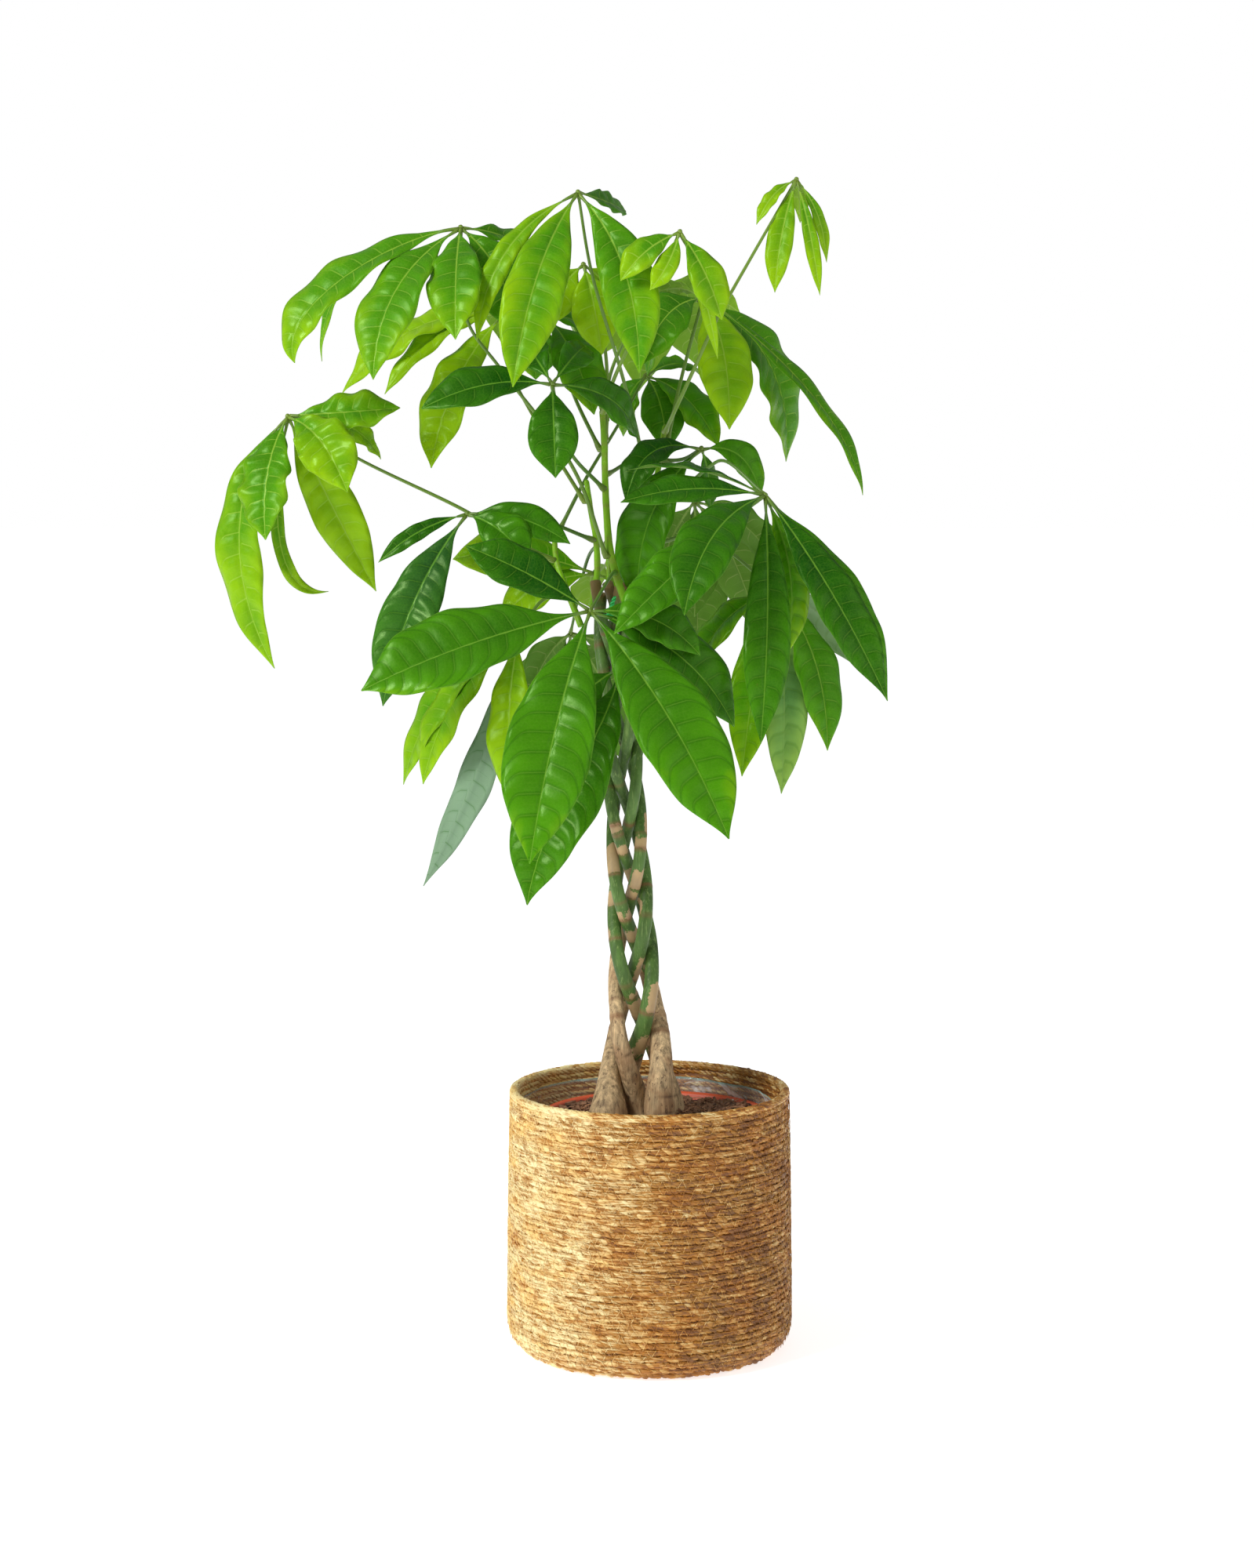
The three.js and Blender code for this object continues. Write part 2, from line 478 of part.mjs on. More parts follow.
/** The leaf stalk, from just clear of its shoot to the hub. */
function petiole(leaf) {
  const { centre, radius } = shootAt(...leaf.root);
  const bends = [...leaf.bends, leaf.hub].map(fromFront);
  const away = bends[0].clone().sub(centre).normalize();
  const outward = new THREE.Vector3(away.x, away.y, 0).normalize();
  const start = centre.addScaledVector(outward, radius + 2 * GAP + PETIOLE_FOOT * Math.abs(away.z));
  const curve = new THREE.CatmullRomCurve3([start, ...bends]);
  const radiusAt = (share) => PETIOLE_FOOT + (PETIOLE_TIP - PETIOLE_FOOT) * share;
  return taperedTube(curve, 2 * bends.length, PETIOLE_SIDES, radiusAt);
}

/** One leaflet: a folded, gently waved blade along an arched midrib. */
function leaflet(leaf, [across, depth, up, width, roll, bowAcross, bowUp, bendAcross = 0, bendUp = 0]) {
  const tip = fromFront([across, depth, up]);
  const hub = fromFront(leaf.hub);
  const length = hub.distanceTo(tip);
  const chord = tip.clone().sub(hub).normalize();
  hub.addScaledVector(chord, HUB_SINK * HUB_RADIUS);
  const facing = new THREE.Vector3(...leaf.faces);
  facing.addScaledVector(chord, -facing.dot(chord)).normalize();
  facing.applyAxisAngle(chord, THREE.MathUtils.degToRad(roll));
  const bow = new THREE.Vector3(bowAcross, 0, bowUp).addScaledVector(facing, LEAF_ARCH * length);
  const nearHub = hub.clone().lerp(tip, 1 / 3).addScaledVector(bow, BOW_PULL);
  const nearTip = hub.clone().lerp(tip, 2 / 3).addScaledVector(bow, BOW_PULL);
  nearTip.add(new THREE.Vector3(bendAcross, 0, bendUp));
  const midrib = new THREE.CubicBezierCurve3(hub, nearHub, nearTip, tip);
  const rings = (width < NARROW ? NARROW_BLADE : BLADE).map(([share, halfWidth, thickness], station) => {
    const centre = midrib.getPoint(share);
    const along = midrib.getTangent(share);
    const normal = facing.clone().addScaledVector(along, -facing.dot(along)).normalize();
    const side = along.clone().cross(normal);
    const half = (halfWidth * width) / 2;
    const wave = LEAF_WAVE * width * halfWidth * (station % 2 ? 1 : -1);
    const skin = normal.clone().multiplyScalar((LEAF_THICKNESS * thickness) / 2);
    const edge = (sign) => centre.clone()
      .addScaledVector(side, sign * half * Math.cos(LEAF_FOLD))
      .addScaledVector(normal, half * Math.sin(LEAF_FOLD) + sign * wave);
    const [right, left] = [edge(1), edge(-1)];
    return [
      centre.clone().add(skin), right.clone().add(skin), right.clone().sub(skin),
      centre.clone().sub(skin), left.clone().sub(skin), left.clone().add(skin),
    ];
  });
  return loft(rings, BLADE_UNDERSIDE);
}

function palmateLeaf(leaf) {
  const hub = fromFront(leaf.hub);
  const knot = new THREE.IcosahedronGeometry(HUB_RADIUS, 0).translate(hub.x, hub.y, hub.z);
  let solid = toSolid(petiole(leaf)).add(toSolid(knot));
  for (const entry of leaf.leaflets) solid = solid.add(toSolid(leaflet(leaf, entry)));
  return toGeometry(solid);
}

/** The soft wire that holds the braid's top together. */
function tie() {
  const ring = new THREE.TorusGeometry(TIE_RADIUS, TIE_WIRE, 5, 20);
  return ring.scale(TIE_ASPECT, 1, 1).translate(braidLean(TIE_HEIGHT - STEM_BASE), 0, TIE_HEIGHT);
}

// ---------------------------------------------------------------- the plant

const plant = new THREE.Group();

function piece(name, geometry, material) {
  const mesh = new THREE.Mesh(geometry, material);
  mesh.name = name;
  plant.add(mesh);
}

piece('basket', basket(), SEAGRASS);
piece('liner', liner(), FILM);
piece('nursery_pot', nurseryPot(), TERRACOTTA);
piece('soil', soil(STEMS.map((entry) => toSolid(stem(entry, GAP)))), POTTING_MIX);
for (const entry of STEMS) piece(entry[0], stem(entry), BARK);
piece('tie', tie(), TIE_GREEN);
for (const entry of SHOOTS) piece(entry[0], shoot(entry), GREEN_WOOD);
for (const leaf of LEAVES) piece(leaf.name, palmateLeaf(leaf), leafFinish(leaf.age));

export default plant;
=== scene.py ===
"""A potted money tree: braided trunk, green shoots and palmate leaves, in a nursery pot that stands
in a film-lined basket of coiled seagrass. Metres, +Z up, -Y the front. The pieces are built round
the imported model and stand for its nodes."""

import json
import math
from typing import NamedTuple

import bpy
import numpy as np
from bpy.props import FloatProperty, FloatVectorProperty, IntProperty, PointerProperty
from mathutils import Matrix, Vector, noise


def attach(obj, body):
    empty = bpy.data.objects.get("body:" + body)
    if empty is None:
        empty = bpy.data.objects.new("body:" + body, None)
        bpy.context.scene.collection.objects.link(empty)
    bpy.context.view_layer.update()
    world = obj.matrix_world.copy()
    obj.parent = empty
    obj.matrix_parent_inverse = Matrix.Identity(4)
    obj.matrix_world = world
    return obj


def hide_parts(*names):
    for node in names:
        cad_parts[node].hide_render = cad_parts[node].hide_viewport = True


bl_info = {
    "name": "Potted Money Tree",
    "version": (1, 0, 0),
    "blender": (4, 5, 0),
    "location": "3D View > Sidebar > Money Tree",
    "description": "Builds the leaves, braided trunk, soil, pot and seagrass basket of a money tree",
    "category": "Add Mesh",
}

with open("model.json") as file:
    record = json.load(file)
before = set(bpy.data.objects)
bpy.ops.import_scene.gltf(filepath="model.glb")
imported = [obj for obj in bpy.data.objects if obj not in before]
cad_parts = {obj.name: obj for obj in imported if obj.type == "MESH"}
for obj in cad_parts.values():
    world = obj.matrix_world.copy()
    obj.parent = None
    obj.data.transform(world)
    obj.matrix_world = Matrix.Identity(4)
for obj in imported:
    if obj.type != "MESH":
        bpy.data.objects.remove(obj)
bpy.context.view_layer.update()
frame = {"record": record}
MM = 0.001

# ---------------------------------------------------------------- driving dimensions, in millimetres

BASKET_RADIUS, BASKET_HEIGHT, BASKET_WALL, BASKET_FLOOR, BASKET_FOOT_RADIUS = 109, 200, 6, 6, 88
BASKET_FOOT_ROUND, BASKET_DRAW_IN = 22, 2.5
# heights and radii between which the coiled rows of the wall and of the underside lie
BASKET_ROWS, BASKET_COILS = (4.0, 196.5), (6, 86)
RIM_HEIGHT, RIM_INSET, RIM_GIRTH = 195.9, 3, 2.55
LINER_TOP, LINER_WALL, LINER_FOOT, LINER_GAP, LINER_LOOSE_FROM = 188, 0.5, 6.35, 0.75, 120
POT_RIM_RADIUS, POT_BASE_RADIUS, POT_TOP, POT_WALL, POT_BOTTOM, POT_SHIFT = 89, 66, 178, 1.6, 7.6, 5
POT_FLARE, POT_LIP_HEIGHT = 19, 9
SOIL_TOP = 174

STEM_BASE, STEM_ROOT, STEM_TOP = 177, 158, 582
BRAID_RATE, BRAID_START = 1.385, 36
BRAID_WIDTH = [(0, 26), (84, 15.2), (132, 13.9), (174, 12.5), (210, 11.6), (405, 10.9)]
BRAID_DEPTH = [(0, 24), (84, 15.5), (132, 14), (210, 12.5), (405, 11.5)]
STEM_SLIM = [(0, 5.5), (100, 5.4), (174, 4.9), (210, 4.5), (405, 4.2)]
BULB_HEIGHT, BULB_CRACKS, STEM_SCARS, PATCH_TOP = 60, 9, 12, 400
# name, place in the braid at the base in degrees, bulb radius, height over which it slims, extra top,
# height where its bark gives way to green skin
STEMS = [
    ("stem_left", 198, 15.5, 28, 0, 272),
    ("stem_middle", 270, 9.5, 38, -6, 318),
    ("stem_right", 54, 11.8, 58, 2, 284),
    ("stem_back_right", 342, 10.2, 42, 3, 240),
    ("stem_back_left", 126, 13, 40, 1, 236),
]
TIE_HEIGHT, TIE_RADIUS, TIE_WIRE, TIE_END_WIRE = 561, 18.4, 0.85, 0.75

# name, points from the foot up, foot radius, tip radius
SHOOTS = [
    ("shoot_front", [[-19, -20, 572], [-25, -18, 590], [-30, -13, 610], [-33, -8, 645], [-34.5, -6, 693],
                     [-36, -5, 716]], 2.9, 2.2),
    ("shoot_left", [[-44, 20, 566], [-40, 21, 590], [-41, 18, 618], [-45, 14, 640], [-48, 9, 662]], 2.6, 2),
    ("shoot_low_left", [[-52, -4, 552], [-62, 10, 576], [-71, 24, 600], [-73, 30, 628]], 2.5, 1.9),
    ("shoot_right", [[-7, 9, 566], [-4, 16, 590], [2, 26, 639], [12, 30, 704]], 2.9, 2),
    ("shoot_back", [[-28, 27, 560], [-31, 38, 600], [-34, 56, 660], [-33, 70, 732]], 2.6, 1.9),
]

# Leaf places are read from the front: (across, depth, up) as seen by an eye in front of the plant.
EYE = np.array([-17, -2560, 735])
# Along a leaflet: share of its length, and its half width there as a share of the greatest.
OUTLINE = [(0, 0.03), (0.06, 0.045), (0.12, 0.13), (0.2, 0.37), (0.3, 0.65), (0.42, 0.87), (0.55, 0.99),
           (0.64, 1.0), (0.74, 0.9), (0.83, 0.68), (0.9, 0.42), (0.95, 0.2), (0.985, 0.06), (1, 0.015)]
LEAF_FOLD = math.radians(12)
LEAF_ARCH = 0.06
BOW_PULL = 4 / 3
BLADE_SKIN, RIB_KEEL = 0.2, 0.75
HUB_RADIUS, HUB_SINK, KNOT_RADIUS = 3, 0.6, 1.9
PETIOLE_FOOT, PETIOLE_TIP = 1.6, 1.05
NECK_RADII = np.array([1.55, 1.35, 1.15, 0.9, 0.4])


class Leaf(NamedTuple):
    """A palmate leaf. A leaflet is (tip across, tip depth, tip up, width, roll in degrees, bow across,
    bow up), with two more numbers for a blade that bends over near its end. Tones say how much older
    or younger than the leaf its leaflets look, and the last table which of them get a painted
    silvery sheen in their colour, and how much."""
    name: str
    root: tuple  # its shoot, and the height there
    age: float
    bends: list  # of its stalk
    hub: tuple
    facing: tuple  # the way its upper side is turned
    leaflets: list
    quilt: float = 0.8
    wave: float = 1
    tones: list = []
    painted_sheens: dict = {}


LEAVES = [
    Leaf("leaf_top_centre", ("shoot_right", 640), 0.35, [(-9, 0, 695), (-21, -32, 741),
         (-44, -62, 818)], (-54, -70, 877), (0, -0.75, 0.66), [(-103, -138, 730, 43, -8, -6, 6),
         (-8, -100, 741, 40, 10, 11, 8), (-130, -98, 765, 19, 0, -13, 8), (-18, 5, 864, 20, 28, 0, -3),
         (-2, -30, 797, 26, 30, 2, 0)], quilt=1.1, tones=[-0.08, 0.05, -0.25, 0.2, 0.15]),
    Leaf("leaf_top_inner", ("shoot_front", 692), 0.1, [(-32, 5, 735), (-35, 2, 769)], (-50, -16, 824),
         (0, -0.7, 0.7), [(-36, -26, 756, 34, 0, 0, 4), (-78, -22, 776, 28, -20, -2, 5),
         (-24, 8, 782, 26, 20, 2, 5)]),
    Leaf("leaf_top_right", ("shoot_front", 712), 0.12, [(-30, -30, 730), (-18, -58, 758)],
         (22.5, -95, 847), (0, -0.8, 0.6), [(-22, -105, 810, 22, -10, -2, 3), (0, -112, 803, 17, 0, 3, -2),
         (54, -100, 781, 27, 0, 2, 1), (51, -70, 752, 10, 30, 4, 3)], tones=[0.05, 0, 0.1, -0.05]),
    Leaf("leaf_far_right_top", ("shoot_right", 698), 0.12, [(21, -8, 719), (34, -22, 747),
         (50, -22, 782), (76, -2, 829)], (110, 20, 888), (0, -0.6, 0.8), [(80, 8, 854, 12, 0, -1, 4),
         (94, 0, 803, 20, 0, -2, 1), (128, 10, 801, 11, 10, 1, 2), (133, 30, 826, 10, 10, 3, 4),
         (113, 58, 856, 13, 0, 0, 4)]),
    Leaf("leaf_upper_left", ("shoot_front", 604), 0.3, [(-53, -28, 661), (-72, -28, 693),
         (-113, -42, 746), (-138, -52, 783)], (-142, -55, 851), (-0.2, -0.65, 0.72),
         [(-267, -82, 749, 37, 0, -4, 14, -46, -20), (-247, -25, 751, 16, 0, -8, 18, -20, 0),
         (-208, -115, 736, 46, 0, -12, 5), (-146, -118, 766, 40, 0, 0, 4), (-96, -65, 765, 42, 0, 4, 8),
         (-80, -20, 822, 26, 0, 3, 3)], quilt=1.1, wave=1.4, tones=[-0.02, -0.05, 0.06, 0.1, 0.08, 0.2]),
    Leaf("leaf_left_yellow", ("shoot_left", 645), 0.08, [(-82, 22, 700), (-110, 44, 758)],
         (-109, 50, 789), (-0.1, -0.55, 0.8), [(-232, 40, 728, 36, 0, -4, 12), (-165, 0, 671, 40, 0, -6, 2),
         (-200, 25, 727, 24, 0, -2, 10), (-88, 110, 742, 34, 0, 2, 10)], quilt=1.2, wave=1.6),
    Leaf("leaf_far_left", ("shoot_low_left", 600), 0.18, [(-110, 8, 620), (-138, 0, 638),
         (-220, -15, 678)], (-273, -20, 710), (-0.3, -0.7, 0.65), [(-188, -30, 716, 32, 10, 0, -3),
         (-228, -62, 652, 42, 0, 3, 8), (-207, 5, 578, 36, 0, -5, 10), (-203, 25, 678, 18, 20, 6, 8),
         (-284, -35, 519, 36, 0, -22, 20, -8, -14), (-290, -62, 616, 40, 0, -4, 2),
         (-243, 20, 578, 11, -40, -20, -7, -13, -38)], quilt=1.7, wave=2,
         tones=[0.12, 0.05, -0.18, 0, 0.02, 0.15, 0]),
    Leaf("leaf_dark_front", ("shoot_front", 655), 0.8, [(-62, -62, 686)], (-73.5, -100, 733),
         (0, -0.8, 0.6), [(-172, -118, 714, 34, 0, 0, 5), (-71, -128, 662, 36, 0, 0, 2),
         (-9, -35, 692, 32, 10, 6, 8), (-92, -55, 762, 24, -20, -2, 4), (-48, -45, 762, 24, 20, 2, 4)],
         quilt=0.8),
    Leaf("leaf_behind_top", ("shoot_front", 684), 0.55, [(-58, 10, 728)], (-76, 10, 783),
         (0.2, -0.7, 0.7), [(-42, -22, 711, 40, 0, 0, 6), (-86, 26, 738, 30, 0, -3, 4),
         (-42, 46, 762, 30, 0, 0, 8)], tones=[-0.2, -0.15, -0.1]),
    Leaf("leaf_right_bright", ("shoot_right", 690), 0.25, [(24, 40, 740)], (40, 30, 800),
         (0.1, -0.6, 0.8), [(-6, 5, 748, 44, 0, -3, 10), (60, -15, 700, 42, 0, 4, 6),
         (161, 30, 651, 22, -12, 0, 6, 24, -12), (103, 80, 677, 54, 0, 12, 10), (-2, 62, 741, 30, 0, -4, 8),
         (3, 48, 803, 20, 60, 0, 4)], tones=[0.25, -0.2, 0.12, 0.2, 0.25, 0.2]),
    Leaf("leaf_olive", ("shoot_low_left", 622), 0.5, [(-48, 40, 664), (-24, 50, 704)], (-3, 70, 742),
         (0, -0.5, 0.85), [(52, 55, 688, 36, 0, 2, 6), (13, 48, 684, 34, 0, 2, 6),
         (-20, 85, 696, 30, 0, -2, 6), (42, 112, 738, 28, 0, 2, 8)], tones=[-0.15, 0.1, -0.1, 0]),
    Leaf("leaf_right_dark", ("shoot_right", 676), 0.8, [(25, 14, 678)], (39, -8, 686),
         (-0.1, -0.6, 0.75), [(-18, -30, 645, 30, 0, -8, 14), (-9, 0, 566, 46, 0, -10, 8),
         (84, 5, 650, 24, 20, 4, 12), (46, 26, 640, 16, 0, 0, 4)], tones=[0.1, -0.2, -0.3, -0.1]),
    Leaf("leaf_right_large", ("shoot_right", 650), 0.75, [(25, -2, 656), (44, -30, 671),
         (56, -46, 676)], (87, -72, 650), (0, -0.75, 0.65), [(26, -160, 558, 44, 0, -9, 8),
         (-27, -134, 544, 38, 0, -4, -6), (-22, -95, 644, 26, 0, -2, 3), (-16, -62, 669, 28, 45, -2, 4),
         (84, -112, 461, 34, 0, 3, 2), (179, -95, 496, 36, 0, 0, 2), (180, -68, 494, 34, 0, 3, 5),
         (103, -45, 528, 28, 0, 9, 4), (116, -20, 561, 14, 0, 6, 6)], quilt=0.9,
         tones=[0, -0.1, 0.05, 0.1, 0, 0.15, -0.15, -0.5, 0]),
    Leaf("leaf_right_low", ("shoot_right", 612), 0.5, [(40, 45, 620)], (95, 38, 580),
         (0.1, -0.45, 0.85), [(156, 45, 521, 36, -80, 4, 6), (135, 20, 457, 38, 0, 6, 6),
         (100, 10, 424, 34, 0, 2, 6), (70, -12, 437, 36, 0, -2, 6), (30, 60, 505, 36, 0, -4, 8),
         (135, 95, 514, 22, 0, 6, 8)], tones=[-0.3, -0.05, -0.35, -0.2, -0.2, 0], painted_sheens={0: 0.6, 2: 0.3}),
    Leaf("leaf_front_large", ("shoot_front", 592), 0.7, [(-30, -70, 588)], (-45, -110, 562),
         (0, -0.8, 0.6), [(-218, -145, 501, 60, 0, -4, -1), (-91, -180, 369, 62, 0, -2, 4),
         (60, -172, 388, 60, 0, 4, 3), (-139, -100, 611, 37, 0, -2, 1), (38, -110, 528, 34, 0, 4, 8),
         (64, -95, 474, 44, 0, 8, 8)], quilt=0.8, tones=[-0.15, -0.22, -0.2, 0.25, -0.1, 0]),
    Leaf("leaf_front_low", ("shoot_right", 572), 0.62, [(6, -22, 566), (-6, -48, 548)],
         (-22, -62, 520), (-0.15, -0.8, 0.6), [(-93, -112, 338, 60, 0, 14, 4, -28, 0),
         (36, -66, 452, 50, 0, 4, 8), (-80, -55, 440, 44, 0, -4, 8)], quilt=2, wave=1.5),
    Leaf("leaf_mid_left", ("shoot_left", 616), 0.85, [(-85, -18, 632)], (-138, -50, 636),
         (-0.2, -0.7, 0.65), [(-205, -62, 599, 13, -30, -2, 4), (-202, -80, 490, 42, -15, -6, 4),
         (-60, -62, 613, 24, 20, 0, 7), (-92, -72, 600, 34, 10, 2, 4)], quilt=1.3,
         tones=[0, 0.05, -0.1, -0.15], painted_sheens={1: 0.05}),
    Leaf("leaf_centre_pale", ("shoot_back", 596), 0.15, [(-34, 54, 598)], (-41, 62, 592),
         (-0.1, -0.8, 0.6), [(-149, 78, 603, 44, 0, -4, 6), (-112, 62, 558, 36, 0, -4, 6),
         (6, 66, 548, 34, 0, 4, 6), (-44, 130, 566, 34, 0, 0, 8)]),
    Leaf("leaf_low_left", ("shoot_low_left", 574), 0.3, [(-80, 0, 572)], (-98, -12, 548),
         (-0.3, -0.6, 0.75), [(-187, 5, 431, 34, 0, -8, 6), (-172, -18, 431, 38, 0, -6, 6),
         (-172, -42, 353, 29, 165, 6, 8), (-104, -45, 415, 36, 0, -2, 4)], quilt=0.7,
         tones=[-0.15, -0.1, 0, -0.3], painted_sheens={2: 0.95}),
    Leaf("leaf_back_top", ("shoot_back", 706), 0.3, [(-30, 104, 742), (-14, 126, 780)], (0, 150, 804),
         (0, 0.7, 0.7), [(-56, 190, 748, 42, 0, 0, 10), (-8, 228, 732, 46, 0, 0, 10),
         (48, 205, 742, 42, 0, 0, 10), (68, 156, 790, 34, 0, 0, 8), (-44, 140, 790, 32, 0, 0, 6)]),
    Leaf("leaf_back_left_top", ("shoot_back", 714), 0.35, [(-62, 106, 786)], (-100, 135, 830),
         (-0.3, 0.65, 0.7), [(-150, 168, 786, 34, 0, 0, 8), (-112, 212, 768, 40, 0, 0, 10),
         (-62, 190, 782, 34, 0, 0, 8), (-128, 110, 800, 26, 0, 0, 6)]),
    Leaf("leaf_back_right", ("shoot_back", 664), 0.7, [(2, 122, 682)], (34, 165, 648), (0.2, 0.7, 0.7),
         [(-6, 198, 562, 44, 0, 0, 8), (36, 236, 528, 50, 0, 0, 12), (84, 208, 546, 46, 0, 0, 10),
         (100, 160, 596, 38, 0, 0, 8), (34, 150, 560, 34, 0, 0, 0)]),
    Leaf("leaf_back_low", ("shoot_back", 612), 0.8, [(-46, 100, 606)], (-60, 148, 548),
         (-0.15, 0.7, 0.7), [(-100, 190, 470, 46, 0, 0, 8), (-60, 226, 420, 52, 0, 0, 12),
         (-8, 206, 440, 48, 0, 0, 10), (18, 160, 492, 38, 0, 0, 8), (-92, 140, 498, 34, 0, 0, 6)]),
]

# ---------------------------------------------------------------- settings


def colour_setting(name, description, default):
    """A colour in the sidebar."""
    return FloatVectorProperty(name=name, description=description, default=default, subtype="COLOR", min=0,
                               max=1)


def length_setting(name, description, millimetres):
    """A length in the sidebar."""
    return FloatProperty(name=name, description=description, default=millimetres * MM, subtype="DISTANCE",
                         unit="LENGTH")


def angle_setting(name, description, degrees):
    """An angle in the sidebar."""
    return FloatProperty(name=name, description=description, default=math.radians(degrees),
                         subtype="ANGLE", unit="ROTATION")


def share_setting(name, description, default):
    """A share of a whole in the sidebar."""
    return FloatProperty(name=name, description=description, default=default, min=0, max=1, subtype="FACTOR")


def power_setting(name, description, default):
    """A light's power in the sidebar."""
    return FloatProperty(name=name, description=description, default=default, subtype="POWER", unit="POWER")


class BasketSettings(bpy.types.PropertyGroup):
    """The coiled seagrass basket."""
    row_pitch: length_setting("Row pitch", "Height of one coiled row", 4.8)
    straw_spacing: length_setting("Straw spacing", "Distance between twisted straws in a row", 4.7)
    straw_length: length_setting("Straw length", "Visible length of one straw", 9.8)
    straw_width: length_setting("Straw width", "Width of one straw", 4.3)
    straw_slant: angle_setting("Straw slant", "Lay of the twisted straws to their row", -20)
    stitch_share: share_setting("Stitches", "Share of the binding stitches that show", 0.75)
    dark_straw: colour_setting("Dark straw", "Colour of the darkest straws", (0.21, 0.09, 0.022))
    golden_straw: colour_setting("Golden straw", "Colour of most straws", (0.47, 0.216, 0.0245))
    pale_straw: colour_setting("Pale straw", "Colour of the palest straws", (0.93, 0.81, 0.44))


class PotSettings(bpy.types.PropertyGroup):
    """What stands in the basket."""
    pot_colour: colour_setting("Pot", "Colour of the nursery pot", (0.78, 0.11, 0.035))
    soil_colour: colour_setting("Soil", "Colour of the potting mix", (0.055, 0.028, 0.016))
    chip_density: FloatProperty(name="Chips", description="Bark chips on a square metre", default=75000,
                                min=0)
    chip_colour: colour_setting("Bark chips", "Colour of the bark chips", (0.24, 0.12, 0.065))
    fibre_colour: colour_setting("Fibres", "Colour of the coir fibres", (0.44, 0.23, 0.12))
    film_reflection_alpha: share_setting("Film", "How much of the liner film shows", 0.26)


class TrunkSettings(bpy.types.PropertyGroup):
    """The braided stems and the green shoots."""
    bark_colour: colour_setting("Bark", "Colour of the swollen stem bases", (0.52, 0.37, 0.2))
    green_colour: colour_setting("Green stem", "Colour of the braid's upper part", (0.075, 0.15, 0.03))
    shoot_colour: colour_setting("Shoot", "Colour of the young shoots", (0.2, 0.44, 0.008))
    tie_colour: colour_setting("Tie", "Colour of the tie wire", (0.02, 0.5, 0.1))


class LeafSettings(bpy.types.PropertyGroup):
    """The palmate leaves."""
    young_colour: colour_setting("Young leaf", "Colour of the youngest leaves", (0.33, 0.6, 0.004))
    fresh_colour: colour_setting("Fresh leaf", "Colour of a grown, fresh leaf", (0.085, 0.33, 0.004))
    old_colour: colour_setting("Old leaf", "Colour of the oldest leaves", (0.009, 0.09, 0.003))
    rib_gap: length_setting("Rib gap", "Distance between side ribs along the midrib", 13)
    quilting: length_setting("Quilting", "Height of the blade between its side ribs", 1.0)
    grid: length_setting("Grid", "Size of the blade's faces", 2.6)
    glow: share_setting("Glow", "Share of light that passes through a blade", 0.28)


class StudioSettings(bpy.types.PropertyGroup):
    """Floor, lights and camera, and the seed of what is scattered."""
    key_power: power_setting("Key light", "Power of the soft light at the left", 70)
    fill_power: power_setting("Fill light", "Power of the light at the right", 9)
    room_light: FloatProperty(name="Room light", description="Light from the room's walls", default=0.34)
    floor_glow: FloatProperty(name="Floor glow", description="Light from the white floor itself", default=0.7)
    eye: FloatVectorProperty(name="Eye", description="Place of the camera", subtype="TRANSLATION",
                             unit="LENGTH", default=(-0.0172, -2.4379, 0.7016))
    pitch: angle_setting("Pitch", "How far the camera looks down", 3.542)
    lens: FloatProperty(name="Lens", description="Focal length on a 36 mm film", default=74.05)
    lens_shift: FloatProperty(name="Lens shift", default=-0.1,
                              description="How far the lens is lowered, as a share of the picture")
    seed: IntProperty(name="Seed", description="Seed of the scattered pieces", default=4)


SETTINGS = {
    "basket_settings": BasketSettings,
    "pot_settings": PotSettings,
    "trunk_settings": TrunkSettings,
    "leaf_settings": LeafSettings,
    "studio_settings": StudioSettings,
}

# ---------------------------------------------------------------- node trees


